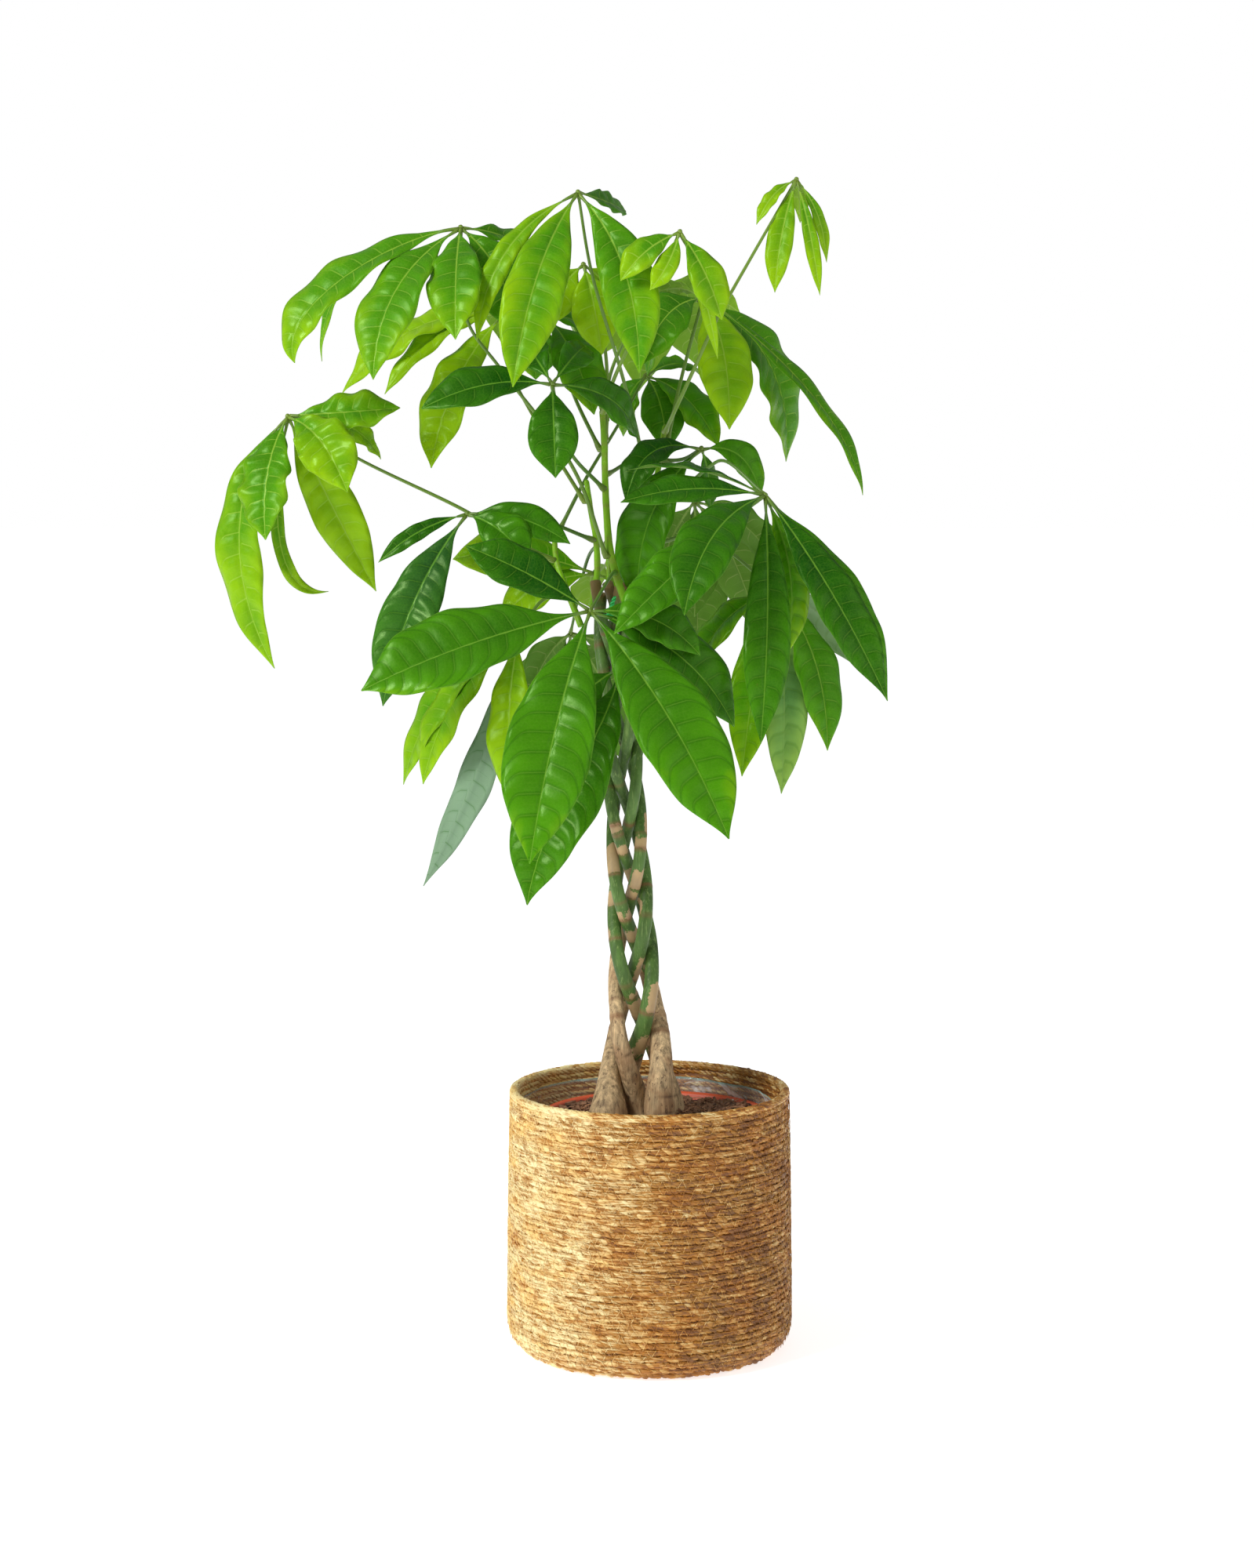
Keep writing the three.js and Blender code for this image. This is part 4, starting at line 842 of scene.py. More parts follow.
def blade_finish(settings):
    """A leaf blade: colour by age, paler ribs and margin, painted shade beside the ribs, a painted silvery
    sheen on some leaflets, a pale dull underside, and light through it.
    """
    finish = Finish("leaf blade")
    place, age, under, bloom = finish.place, *map(finish.kept, ("age", "underside", "bloom"))
    ribs, blade = finish.uv("Ribs"), finish.uv("Blade")
    phase, along = ribs.axis(0), blade.axis(0)
    across = (blade.axis(1) * 2.0 - 1.0).maths("ABSOLUTE")
    young, fresh, old = settings.young_colour, settings.fresh_colour, settings.old_colour
    patch = place.grain(17, 4)
    leaning = (age + patch.between(0.28, 0.72, -0.13, 0.13) + across.between(0.25, 1.0, 0.04, -0.09)
               + along.between(0.1, 1.0, 0.09, -0.12)).maths("ADD", finish.kept("tone"), clamp=True)
    colour = leaning.ramp((0.0, young), (0.32, fresh), (0.64, halfway(fresh, old, 0.55)), (1.0, old))
    # side ribs, spaced by their phase, that fade towards the margin
    near_rib = phase.maths("PINGPONG", 0.5)
    rib = near_rib.between(0.0, 0.05, 1.0, 0.0) * across.between(0.6, 0.93, 1.0, 0.0)
    midrib = (ribs.axis(1) / along.between(0.05, 1.0, 0.95, 0.4)).between(0.45, 1.05, 1.0, 0.0)
    net = finish.value("ShaderNodeTexVoronoi", {"Vector": place, "Scale": 420.0}, "Distance",
                       feature="DISTANCE_TO_EDGE")
    web = net.between(0.0, 0.12, 1.0, 0.0)
    pale = age.blend((0.46, 0.7, 0.08), (0.13, 0.4, 0.03))
    colour = (web * 0.1).blend(colour, pale)
    # every other stretch between two ribs has a thin rib of its own
    thin = (phase + 0.5).maths("PINGPONG", 0.5).between(0.0, 0.03, 0.3, 0.0)
    rib = rib.maths("MAXIMUM", thin * across.between(0.4, 0.7, 1.0, 0.0))
    # painted shade in the grooves beside the side ribs, where the quilted blade dips; less of it on young
    # blades
    painted_rib_shade = near_rib.between(0.03, 0.16, 0.5, 0.0) * age.between(0.1, 0.7, 0.15, 0.9)
    colour = painted_rib_shade.blend(colour, (0.2, 0.42, 0.1), "MULTIPLY")
    colour = (rib * age.between(0.1, 0.7, 0.6, 0.3)).blend(colour, pale)
    colour = (midrib * 0.7).blend(colour, pale)
    colour = across.between(0.965, 0.998, 0.0, 0.4).blend(colour, pale)
    fleck = place.grain(160).between(0.7, 0.76, 0.0, 0.3)
    colour = (fleck * age).blend(colour, (0.2, 0.16, 0.03))
    back = age.blend((0.28, 0.47, 0.035), (0.12, 0.27, 0.045))
    back = (rib.maths("ADD", midrib, clamp=True) * 0.5).blend(back, (0.48, 0.58, 0.2))
    colour = (under * 0.75).blend(colour, back)
    # painted sheen: a silvery colour, lighter along the ribs and the painted shade beside them, laid on the
    # leaflets given a sheen
    painted_sheen_colour = rib.maths("MAXIMUM", painted_rib_shade).blend((0.29, 0.44, 0.3), (0.13, 0.27, 0.13))
    colour = bloom.blend(colour, painted_sheen_colour)
    # light that comes through is yellower, and less of it comes through an old blade; under a painted sheen
    # it is greyer
    glow = (age * -0.3 + 0.5).blend(colour, (0.26, 0.56, 0.001))
    through = finish.value("ShaderNodeBsdfTranslucent", {"Color": bloom.blend(glow, (0.2, 0.3, 0.16))})
    both = finish.value("ShaderNodeMixShader", {0: settings.glow, 1: finish.shader.outputs[0], 2: through})
    finish.fill(finish.tree.nodes["Material Output"].inputs["Surface"], both)
    dull = under * 0.25 + patch.between(0.3, 0.7, 0.24, 0.36)
    return finish.surface(colour, dull, near_rib - web * 0.06, 0.0006, gloss=0.32,
                          tint=(0.62, 0.95, 0.35, 1))


# ---------------------------------------------------------------- shapes of the plant


def basket_radius(height):
    """Outer radius of the basket at a height."""
    foot = max(0, 1 - height / BASKET_FOOT_ROUND)
    return (BASKET_RADIUS - (BASKET_RADIUS - BASKET_FOOT_RADIUS) * (1 - math.sqrt(1 - foot * foot))
            - BASKET_DRAW_IN * (height / BASKET_HEIGHT)**2)


def pot_radius(height):
    """Outer radius of the nursery pot below its lip."""
    return POT_BASE_RADIUS + POT_FLARE * (height - POT_BOTTOM) / (POT_TOP - POT_BOTTOM)


def turned_skin(profile, sides, sway=None):
    """Points and faces of a closed skin turned round the upright axis. The profile runs from axis to axis."""
    angle = around(sides)
    points = [[0, 0, profile[0][1]]]
    for radius, height in profile[1:-1]:
        reach = radius + (sway(angle, height) if sway else np.zeros(sides))
        ring = [reach * np.cos(angle), reach * np.sin(angle), np.full(sides, float(height))]
        points += np.stack(ring, axis=1).tolist()
    points.append([0, 0, profile[-1][1]])
    return points, poled_faces(len(profile) - 2, sides)


def from_front(places):
    """Where places read from the front really are."""
    places = np.atleast_2d(np.asarray(places, float))
    reach = (places[:, 1] - EYE[1]) / -EYE[1]
    return np.stack([EYE[0] + (places[:, 0] - EYE[0]) * reach, places[:, 1],
                     EYE[2] + (places[:, 2] - EYE[2]) * reach], axis=1)


def braid_axis(rise):
    """How far to the side the braid's middle is, at a height over its base."""
    return -7.5 - 0.0339 * rise - 0.000053 * rise**2


def stem_centre(place, height):
    """Centre line of one braided stem; the five pass over each other front and back."""
    rise = np.maximum(0, np.asarray(height, float) - STEM_BASE)
    turned = BRAID_RATE * (rise - BRAID_START * (1 - np.exp(-rise / BRAID_START)))
    angle = np.radians(place - turned)
    return np.stack([braid_axis(rise) + keyed(BRAID_WIDTH, rise) * np.cos(angle),
                     -keyed(BRAID_DEPTH, rise) * np.sin(2 * angle), np.asarray(height, float)], axis=-1)


def stem_radius(bulb, slimming, height):
    """Radius of a stem: its bulb, slimming into the braid."""
    rise = height - STEM_BASE
    slim = keyed(STEM_SLIM, rise)
    above = slim + (bulb - slim) * np.exp(-(np.maximum(rise, 0) / slimming) ** 1.5)
    below = bulb * np.sqrt(np.maximum(0.05, 1 - 0.8 * (rise / -31) ** 2))
    return np.where(rise < 0, below, above)


def stem_skin(place, bulb, slimming, extra, green_from):
    """One stem: grooved bulb, ring scars and a cut top, with the numbers that colour it."""
    chance = np.random.default_rng(int(place) + 11)
    top = STEM_TOP + extra
    rings, sides = 240, 24
    heights = np.linspace(STEM_ROOT, top, rings)
    centres = stem_centre(place, heights)
    along = unit(stem_centre(place, heights + 1) - stem_centre(place, heights - 1))
    right = unit(np.cross(np.array([0, 1.0, 0]), along))
    back = np.cross(along, right)
    angle = around(sides)
    radius = stem_radius(bulb, slimming, heights)
    scars = np.sort(chance.uniform(STEM_BASE + BULB_HEIGHT, top - 10, STEM_SCARS))
    scar = np.zeros(rings)
    for number, height in enumerate(scars):
        near = np.exp(-((heights - height) / (1.1 if number % 3 else 1.7))**2)
        scar = np.maximum(scar, near * (0.55 if number % 2 else 1.0))
        radius = radius * (1 + 0.04 * near)
    cracks = np.zeros((rings, sides))
    for _ in range(BULB_CRACKS):
        height = chance.uniform(STEM_BASE - 4, STEM_BASE + BULB_HEIGHT)
        turn = chance.uniform(0, math.tau)
        reach = (np.angle(np.exp(1j * (angle - turn))) / 0.75)**2
        cracks = np.maximum(cracks, 0.7 * np.exp(-(((heights[:, None] - height) / 0.8)**2 + reach[None, :])))
    # smooth tan skin between some of the scars, nearly all round the stem
    patch = np.zeros((rings, sides))
    edges = np.concatenate([[green_from - 8], scars, [top]])
    for low, high in zip(edges[:-1], edges[1:]):
        if low > PATCH_TOP or chance.uniform() > 0.8:
            continue
        reach = min(chance.uniform(0.3, 1.0) * (high - low), chance.uniform(8, 22))
        band = 1 / (1 + np.exp(-(heights - low) / 0.9)) - 1 / (1 + np.exp(-(heights - low - reach) / 1.6))
        facing = np.cos(angle - chance.uniform(0, math.tau)) - chance.uniform(-1.1, -0.1)
        patch = np.maximum(patch, band[:, None] * np.clip(facing * 2.2, 0, 1)[None, :])
    swell = np.clip(1.15 - (heights - STEM_BASE) / 81, 0.12, 1)
    lumps = np.array([[noise.noise(Vector((2.4 * math.cos(t), 2.4 * math.sin(t), h / 26 + place)))
                       + 0.5 * noise.noise(Vector((5 * math.cos(t), 5 * math.sin(t), h / 60 + place * 2)))
                       for t in angle] for h in heights])
    skin = radius[:, None] * (1 + 0.11 * swell[:, None] * lumps - 0.05 * cracks)
    points = (centres[:, None, :] + right[:, None, :] * (skin * np.cos(angle))[..., None]
              + back[:, None, :] * (skin * np.sin(angle))[..., None]).reshape(-1, 3)
    cut = np.zeros((rings, sides))
    cut[-1] = 1
    numbers = {"rise": np.repeat((heights - green_from) / 60 + 0.5, sides), "scar": np.repeat(scar, sides),
               "crack": cracks.ravel(), "cut": cut.ravel(), "patch": patch.ravel()}
    return points, ring_faces(rings, sides), numbers


def shoot_at(name, height):
    """The point of a shoot's axis at a height, and its radius there."""
    _, points, foot, tip = next(shoot for shoot in SHOOTS if shoot[0] == name)
    line, _ = centripetal(points, 100)
    above = np.flatnonzero(line[:, 2] >= height)
    step = min(above[0], 99) if len(above) else 99
    return line[step], foot + (tip - foot) * step / 100


def leaflet_line(leaf, entry, count):
    """Midrib places, directions and normals of one leaflet, and its length."""
    roll, bow_across, bow_up, *bend = entry[4:]
    bend_across, bend_up = bend or (0, 0)
    tip, hub = from_front(entry[:3])[0], from_front(leaf.hub)[0]
    length = np.linalg.norm(tip - hub)
    chord = (tip - hub) / length
    hub = hub + chord * HUB_SINK * HUB_RADIUS
    facing = np.array(leaf.facing, float)
    facing = unit(facing - chord * (facing @ chord))
    turn = math.radians(roll)
    facing = facing * math.cos(turn) + np.cross(chord, facing) * math.sin(turn)
    bow = np.array([bow_across, 0, bow_up]) + facing * LEAF_ARCH * length
    near_hub = hub + (tip - hub) / 3 + bow * BOW_PULL
    near_tip = hub + (tip - hub) * 2 / 3 + bow * BOW_PULL + np.array([bend_across, 0, bend_up])
    s = np.linspace(0, 1, count)[:, None]
    line = (1 - s)**3 * hub + 3 * (1 - s)**2 * s * near_hub + 3 * (1 - s) * s**2 * near_tip + s**3 * tip
    along = unit(3 * (1 - s)**2 * (near_hub - hub) + 6 * (1 - s) * s * (near_tip - near_hub)
                 + 3 * s**2 * (tip - near_tip))
    normal = unit(facing - along * (along @ facing)[:, None])
    return line, along, normal, length


def sheet_faces(rows, columns, flip):
    """Faces of a thin closed sheet: its upper and lower side, and the strips round its edge."""
    faces, total = [], (rows + 1) * columns
    for i in range(rows):
        for j in range(columns - 1):
            a, b = i * columns + j, (i + 1) * columns + j
            faces += [(a, b, b + 1, a + 1), (total + a, total + a + 1, total + b + 1, total + b)]
        for j, order in ((0, 1), (columns - 1, -1)):
            a, b = i * columns + j, (i + 1) * columns + j
            faces.append((a, total + a, total + b, b)[::order])
    for i, order in ((0, -1), (rows, 1)):
        for a in range(i * columns, (i + 1) * columns - 1):
            faces.append((a, total + a, total + a + 1, a + 1)[::order])
    return [face[::-1] for face in faces] if flip else faces


def leaflet_skin(leaf, entry, shift, bloom, settings, chance):
    """Points, faces, UV maps and numbers of one leaflet: a folded, waved blade quilted between its ribs."""
    width = entry[3]
    grid = settings.grid / MM
    span = np.linalg.norm(np.diff(from_front([leaf.hub, entry[:3]]), axis=0))
    rows = max(16, int(span * 1.04 / grid))
    half_columns = int(np.clip(width / 2 / grid, 4, 11))
    line, along, normal, length = leaflet_line(leaf, entry, rows + 1)
    side = np.cross(along, normal)
    share = np.linspace(0, 1, rows + 1)
    s = share[:, None]
    v = np.linspace(-1, 1, 2 * half_columns + 1)
    v = (np.sign(v) * (0.72 * np.abs(v) + 0.28 * v**2))[None, :]
    a = np.abs(v)
    half = (smooth_keyed(OUTLINE, share) * width / 2 * 1.03)[:, None]
    # a real leaflet is never quite even: the halves differ, and its margin waves
    uneven = 1 + chance.uniform(-0.07, 0.07) * np.sign(v)
    ragged = np.array([[1 + 0.035 * noise.noise(Vector((place * length / 17, sign * 3.1, span)))
                        for sign in (-1, 1)] for place in share])
    ragged = np.where(v < 0, ragged[:, :1], ragged[:, 1:])
    reach = half * v * np.where(v == 0, 1, uneven * ragged)
    shape = np.clip(half / (width / 2), 0, 1)
    waves = chance.uniform(2.6, 4.2)
    swing = [chance.uniform(0, math.tau) for _ in range(4)]
    margin = np.where(v < 0, np.sin(math.tau * waves * s + swing[0]),
                      np.sin(math.tau * waves * 1.13 * s + swing[1]))
    station = 0.035 * width * np.sin(np.pi * 4 * s + swing[2]) * 0.6
    fold = math.sin(LEAF_FOLD) * np.abs(reach) * (1.25 - 0.45 * a)
    droop = -0.05 * width * a**3 * shape
    curl = margin * leaf.wave * (0.032 * width + 0.6) * a**2.2 * shape + np.sign(v) * station * a * shape
    # ribs leave the midrib and curve towards the tip
    sweep = 0.24 * a + 2.6 * np.clip(a - 0.55, 0, 1)**2
    count = min(13, max(4, round(length / (settings.rib_gap / MM))))
    phase = (s - half / length * sweep) * count + np.where(v < 0, 0.5, 0) + chance.uniform(0, 0.5)
    pillow = np.abs(np.sin(np.pi * phase)) ** 0.75
    inner = np.clip(np.abs(reach) / 2.2, 0, 1) * (1 - a**5)
    ends = np.clip(shape * 1.6, 0, 1)
    depth = leaf.quilt * chance.uniform(0.8, 1.2) * settings.quilting / MM
    quilt = depth * (pillow - 0.5) * inner * ends * min(1.3, 0.55 + width / 60)
    trough = -0.55 * np.exp(-(np.abs(reach) / 1.3)**2) * ends
    sheet = line[:, None, :] + side[:, None, :] * (reach * math.cos(LEAF_FOLD))[..., None]
    sheet = sheet + normal[:, None, :] * (fold + droop + curl + quilt + trough)[..., None]
    rise, run = np.gradient(sheet, axis=0), np.gradient(sheet, axis=1)
    outward = np.cross(rise, run)
    flip = outward[2, 2] @ normal[2] < 0
    outward = unit(outward * np.sign((outward * normal[:, None, :]).sum(-1, keepdims=True)))
    # thickest at its foot and along the keel of the midrib below
    skin = BLADE_SKIN - 0.08 * a
    foot = np.clip(1 - s / 0.07, 0, 1)
    keel = RIB_KEEL * np.exp(-(np.abs(reach) / 0.9)**2) * (1 - 0.75 * s)
    top = sheet + outward * (skin + 0.55 * foot)[..., None]
    bottom = sheet - outward * (skin + keel + 0.5 * foot)[..., None]
    points = np.concatenate([top.reshape(-1, 3), bottom.reshape(-1, 3)])
    blade = np.stack(np.broadcast_arrays(s, (v + 1) / 2), axis=-1).reshape(-1, 2)
    ribs = np.stack([phase.ravel(), np.abs(reach).ravel()], axis=1)
    total = len(blade)
    tone = np.full(2 * total, chance.uniform(-0.06, 0.06) + shift)
    uvs = {"Blade": np.concatenate([blade, blade]), "Ribs": np.concatenate([ribs, ribs])}
    numbers = {"tone": tone, "underside": np.repeat([0, 1], total), "bloom": bloom}
    return points, sheet_faces(rows, 2 * half_columns + 1, flip), uvs, numbers


def round_knot(centre, radius, chance):
    """A small uneven ball."""
    rings, sides = 7, 10
    points = [centre - np.array([0, 0, radius])]
    for ring in range(1, rings):
        polar = np.pi * ring / rings
        for angle in around(sides):
            size = radius * chance.uniform(0.93, 1.07)
            points.append(centre + size * np.array([math.sin(polar) * math.cos(angle),
                                                    math.sin(polar) * math.sin(angle), -math.cos(polar)]))
    points.append(centre + np.array([0, 0, radius]))
    return np.array(points), poled_faces(rings - 1, sides)


def add_leaf(leaf, materials, settings):
    """One palmate leaf: blades, the knot they meet in and the stalk that runs to its shoot."""
    chance = np.random.default_rng(sum(ord(letter) * (k + 3) for k, letter in enumerate(leaf.name)))
    pile, plain_uvs = Pile(), {"Blade": (0, 0.5), "Ribs": (0, 0)}
    plain = {"tone": 0, "underside": 0, "bloom": 0, "age": leaf.age, "knuckle": 0}
    for number, (entry, shift) in enumerate(zip(leaf.leaflets, leaf.tones or [0] * len(leaf.leaflets))):
        bloom = leaf.painted_sheens.get(number, 0)
        points, faces, uvs, numbers = leaflet_skin(leaf, entry, shift, bloom, settings, chance)
        pile.add(points, faces, uvs, {**plain, **numbers})
        neck = leaflet_line(leaf, entry, 41)[0][:len(NECK_RADII)]
        pile.add(*tube(neck, NECK_RADII, 8), plain_uvs,
                 {**plain, "knuckle": np.repeat([0.9, 0.5, 0.2, 0, 0], 8)}, kind=1)
    centre, radius = shoot_at(*leaf.root)
    bends = from_front([*leaf.bends, leaf.hub])
    away = unit(bends[0] - centre)
    outward = unit(np.array([away[0], away[1], 0]))
    start = centre + outward * (radius + 0.7 + PETIOLE_FOOT * abs(away[2]))
    line, run = centripetal(np.vstack([start, bends]), max(14, int(np.linalg.norm(bends[-1] - start) / 3)))
    steps = np.linspace(0, 1, len(line))
    from_foot, from_hub = steps * run, (1 - steps) * run
    radii = PETIOLE_FOOT + (PETIOLE_TIP - PETIOLE_FOOT) * steps
    radii = radii + 0.95 * np.exp(-(from_foot / 5.5)**2) + 0.7 * np.exp(-(from_hub / 4)**2)
    # the stalk starts inside its shoot
    line = np.vstack([centre + outward * radius * 0.2, line])
    knuckle = np.concatenate([[1], np.exp(-(from_foot / 7)**2) + np.exp(-(from_hub / 5)**2)])
    pile.add(*tube(line, np.concatenate([[radii[0] * 0.9], radii]), 10), plain_uvs,
             {**plain, "knuckle": np.repeat(knuckle, 10)}, kind=1)
    pile.add(*round_knot(from_front(leaf.hub)[0], KNOT_RADIUS, chance), plain_uvs,
             {**plain, "knuckle": 0.8}, kind=1)
    slot = next(part["material_slot"] for part in frame["record"]["subparts"] if part["node"] == leaf.name)
    hand_over(pile.make(f"{leaf.name}_blades", materials), slot, leaf.name)


# ---------------------------------------------------------------- operators


class MONEYTREE_OT_stems(bpy.types.Operator):
    """Build the five braided stems."""
    bl_idname = "moneytree.stems"
    bl_label = "Build Stems"
    bl_options = {"REGISTER", "UNDO"}

    def execute(self, context):
        material = bark_finish(context.scene.trunk_settings)
        for name, *shape in STEMS:
            points, faces, numbers = stem_skin(*shape)
            hand_over(piece_from(f"{name}_bark", points, faces, [material], numbers=numbers), "bark", name)
        return {"FINISHED"}


class MONEYTREE_OT_shoots(bpy.types.Operator):
    """Build the green shoots that grow from the braid's top."""
    bl_idname = "moneytree.shoots"
    bl_label = "Build Shoots"
    bl_options = {"REGISTER", "UNDO"}

    def execute(self, context):
        material = shoot_finish(context.scene.trunk_settings)
        steps, sides = 60, 16
        for name, places, foot, tip in SHOOTS:
            chance = np.random.default_rng(len(name) * 7)
            line, _ = centripetal(places, steps)
            up = line[:, 2]
            radii = np.linspace(0, 1, steps + 1) * (tip - foot) + foot
            scar = np.zeros(steps + 1)
            # a ring below each leaf, and four where leaves fell
            roots = [leaf.root[1] for leaf in LEAVES if leaf.root[0] == name]
            for height in roots + list(chance.uniform(up[4], up[-8], 4)):
                radii = radii * (1 + 0.05 * np.exp(-((up - height) / 3.2)**2))
                scar = np.maximum(scar, np.exp(-((up - height + 3) / 1.6)**2) * chance.uniform(0.4, 1))
            radii[-1] *= 0.6
            points, faces = tube(line, radii, sides)
            piece = piece_from(f"{name}_skin", points, faces, [material],
                               numbers={"scar": np.repeat(scar, sides)})
            hand_over(piece, "green_wood", name)
        return {"FINISHED"}


class MONEYTREE_OT_tie(bpy.types.Operator):
    """Build the soft wire round the top of the braid."""
    bl_idname = "moneytree.tie"
    bl_label = "Build Tie"
    bl_options = {"REGISTER", "UNDO"}

    def execute(self, context):
        material = plain_finish("tie wire", context.scene.trunk_settings.tie_colour, 0.4)
        middle = np.array([braid_axis(TIE_HEIGHT - STEM_BASE), 0, TIE_HEIGHT])
        pile, turn = Pile(), around(72)
        for height, size in ((-1.1, 0.0), (1.0, 0.35)):
            ring = [(TIE_RADIUS + size) * 0.96 * np.cos(turn), (TIE_RADIUS + size) * np.sin(turn),
                    height + 1.2 * np.sin(2 * turn + size * 5)]
            pile.add(*tube(middle + np.stack(ring, axis=1), TIE_WIRE, 8, closed=True))
        # the two ends are twisted round each other, in front
        twist = np.linspace(0, 1, 34)
        for start in (0, np.pi):
            swirl = start + twist * 15
            tail = [5 * twist + np.cos(swirl), -1.5 * np.sin(twist * 2) + np.sin(swirl), 14 * twist]
            pile.add(*tube(middle + np.array([-3, -TIE_RADIUS - 0.8, 0]) + np.stack(tail, axis=1),
                           TIE_END_WIRE, 6))
        hand_over(pile.make("tie_wire_twist", [material]), "tie_wire", "tie")
        return {"FINISHED"}


class MONEYTREE_OT_leaves(bpy.types.Operator):
    """Build the palmate leaves."""
    bl_idname = "moneytree.leaves"
    bl_label = "Build Leaves"
    bl_options = {"REGISTER", "UNDO"}

    def execute(self, context):
        settings = context.scene.leaf_settings
        materials = [blade_finish(settings), stalk_finish()]
        for leaf in LEAVES:
            add_leaf(leaf, materials, settings)
        return {"FINISHED"}


class MONEYTREE_OT_basket(bpy.types.Operator):
    """Build the basket: coiled rows of twisted straw, stitched together."""
    bl_idname = "moneytree.basket"
    bl_label = "Build Basket"
    bl_options = {"REGISTER", "UNDO"}

    def execute(self, context):
        settings = context.scene.basket_settings
        # the rim finish is a lighter copy of the straw: painted light on the inside rows and on the rim
        grass, thread, coil, lip = [straw_finish(f"seagrass {name}", settings, shift) for name, shift in
                                    (("straw", 0.02), ("thread", 0.1), ("coil", 0.0), ("rim", 0.2))]
        seed = context.scene.studio_settings.seed
        tree = straw_tree()
        hand_over(piece_from("basket_core", *self.core(), [coil]), "seagrass", "basket")

        straws = {"Spacing": settings.straw_spacing, "Length": settings.straw_length,
                  "Width": settings.straw_width, "Slant": settings.straw_slant, "Unevenness": 0.22,
                  "Sides": 6, "Finish": grass, **in_metres({"Thickness": 2.3, "Lift": 0.4})}

        def lay(name, rings, step, changes, common=straws):
            """Straws along rings, as one piece of the basket, with what differs from the common straws."""
            values = {**common, "Seed": seed + step, **in_metres(changes)}
            hand_over(apply_tree(f"basket_{name}", guide_rings(rings), tree, values), "seagrass", "basket")

        pitch = settings.row_pitch / MM
        rows = list(np.arange(*BASKET_ROWS, pitch))
        third = len(rows) // 3
        for name, some in (("lower", rows[:third]), ("middle", rows[third:2 * third]),
                           ("upper", rows[2 * third:])):
            lay(f"rows_{name}", [(basket_radius(z) - 1.75, z, 1, 0) for z in some], int(some[0]), {})
        lay("fibres", [(basket_radius(z) - 0.75, z + pitch * 0.35, 1, 0) for z in rows[:-1]], 9,
            {"Spacing": 7.4, "Length": 12, "Width": 0.9, "Thickness": 0.8, "Slant": math.radians(-9),
             "Lift": 0.35, "Sides": 5, "Share": 0.7})
        lay("rows_inside", [(basket_radius(z) - BASKET_WALL + 1.2, z, -1, 0) for z in rows if z > 120], 2,
            {"Length": 8.2, "Width": 2.8, "Thickness": 2, "Spacing": 5, "Sides": 5, "Finish": lip})
        lay("coils_below", [(r, 1.5, 0, -1) for r in np.arange(*BASKET_COILS, pitch)], 3,
            {"Thickness": 2, "Lift": 0.15, "Unevenness": 0.1})
        # the rolled rim, wrapped all over
        middle, rings = basket_radius(BASKET_HEIGHT) - RIM_INSET, []
        for turn in np.radians(np.arange(-40, 221, 37)):
            across, up = math.cos(turn), math.sin(turn)
            rings.append((middle + RIM_GIRTH * across, RIM_HEIGHT + RIM_GIRTH * up, across, up))
        lay("rim", rings, 4, {"Slant": math.radians(-24), "Length": 9, "Width": 2.4, "Thickness": 1.5,
                              "Lift": 0.12, "Unevenness": 0.1, "Finish": lip})
        lay("stitches", [(basket_radius(z) - 0.05, z, 1, 0) for z in rows[1:-1]], 5,
            {"Spacing": 3.6, "Length": 6.4, "Width": 0.55, "Thickness": 0.5, "Slant": math.radians(62),
             "Zigzag": 1.0, "Unevenness": 0.15, "Lift": 0.15, "Share": settings.stitch_share, "Sides": 4,
             "Finish": thread}, common={})
        return {"FINISHED"}

    @staticmethod
    def core():
        """The skin under the straws, a little inside the basket's outline."""
        inset, shoulder = 1.9, 194
        outer = [(basket_radius(z) - inset, z or inset) for z in (0.0, 4, 11, 24, 70, 130, shoulder)]
        inner = [(basket_radius(z) - BASKET_WALL + 1.4, z) for z in (shoulder, 130, 70, 24, 14)]
        floor = [(basket_radius(BASKET_FLOOR) - BASKET_WALL - 2, BASKET_FLOOR), (0, BASKET_FLOOR)]
        top = (basket_radius(BASKET_HEIGHT) - RIM_INSET, 197)
        return turned_skin([(0, inset), *outer, top, *inner, *floor], 96)


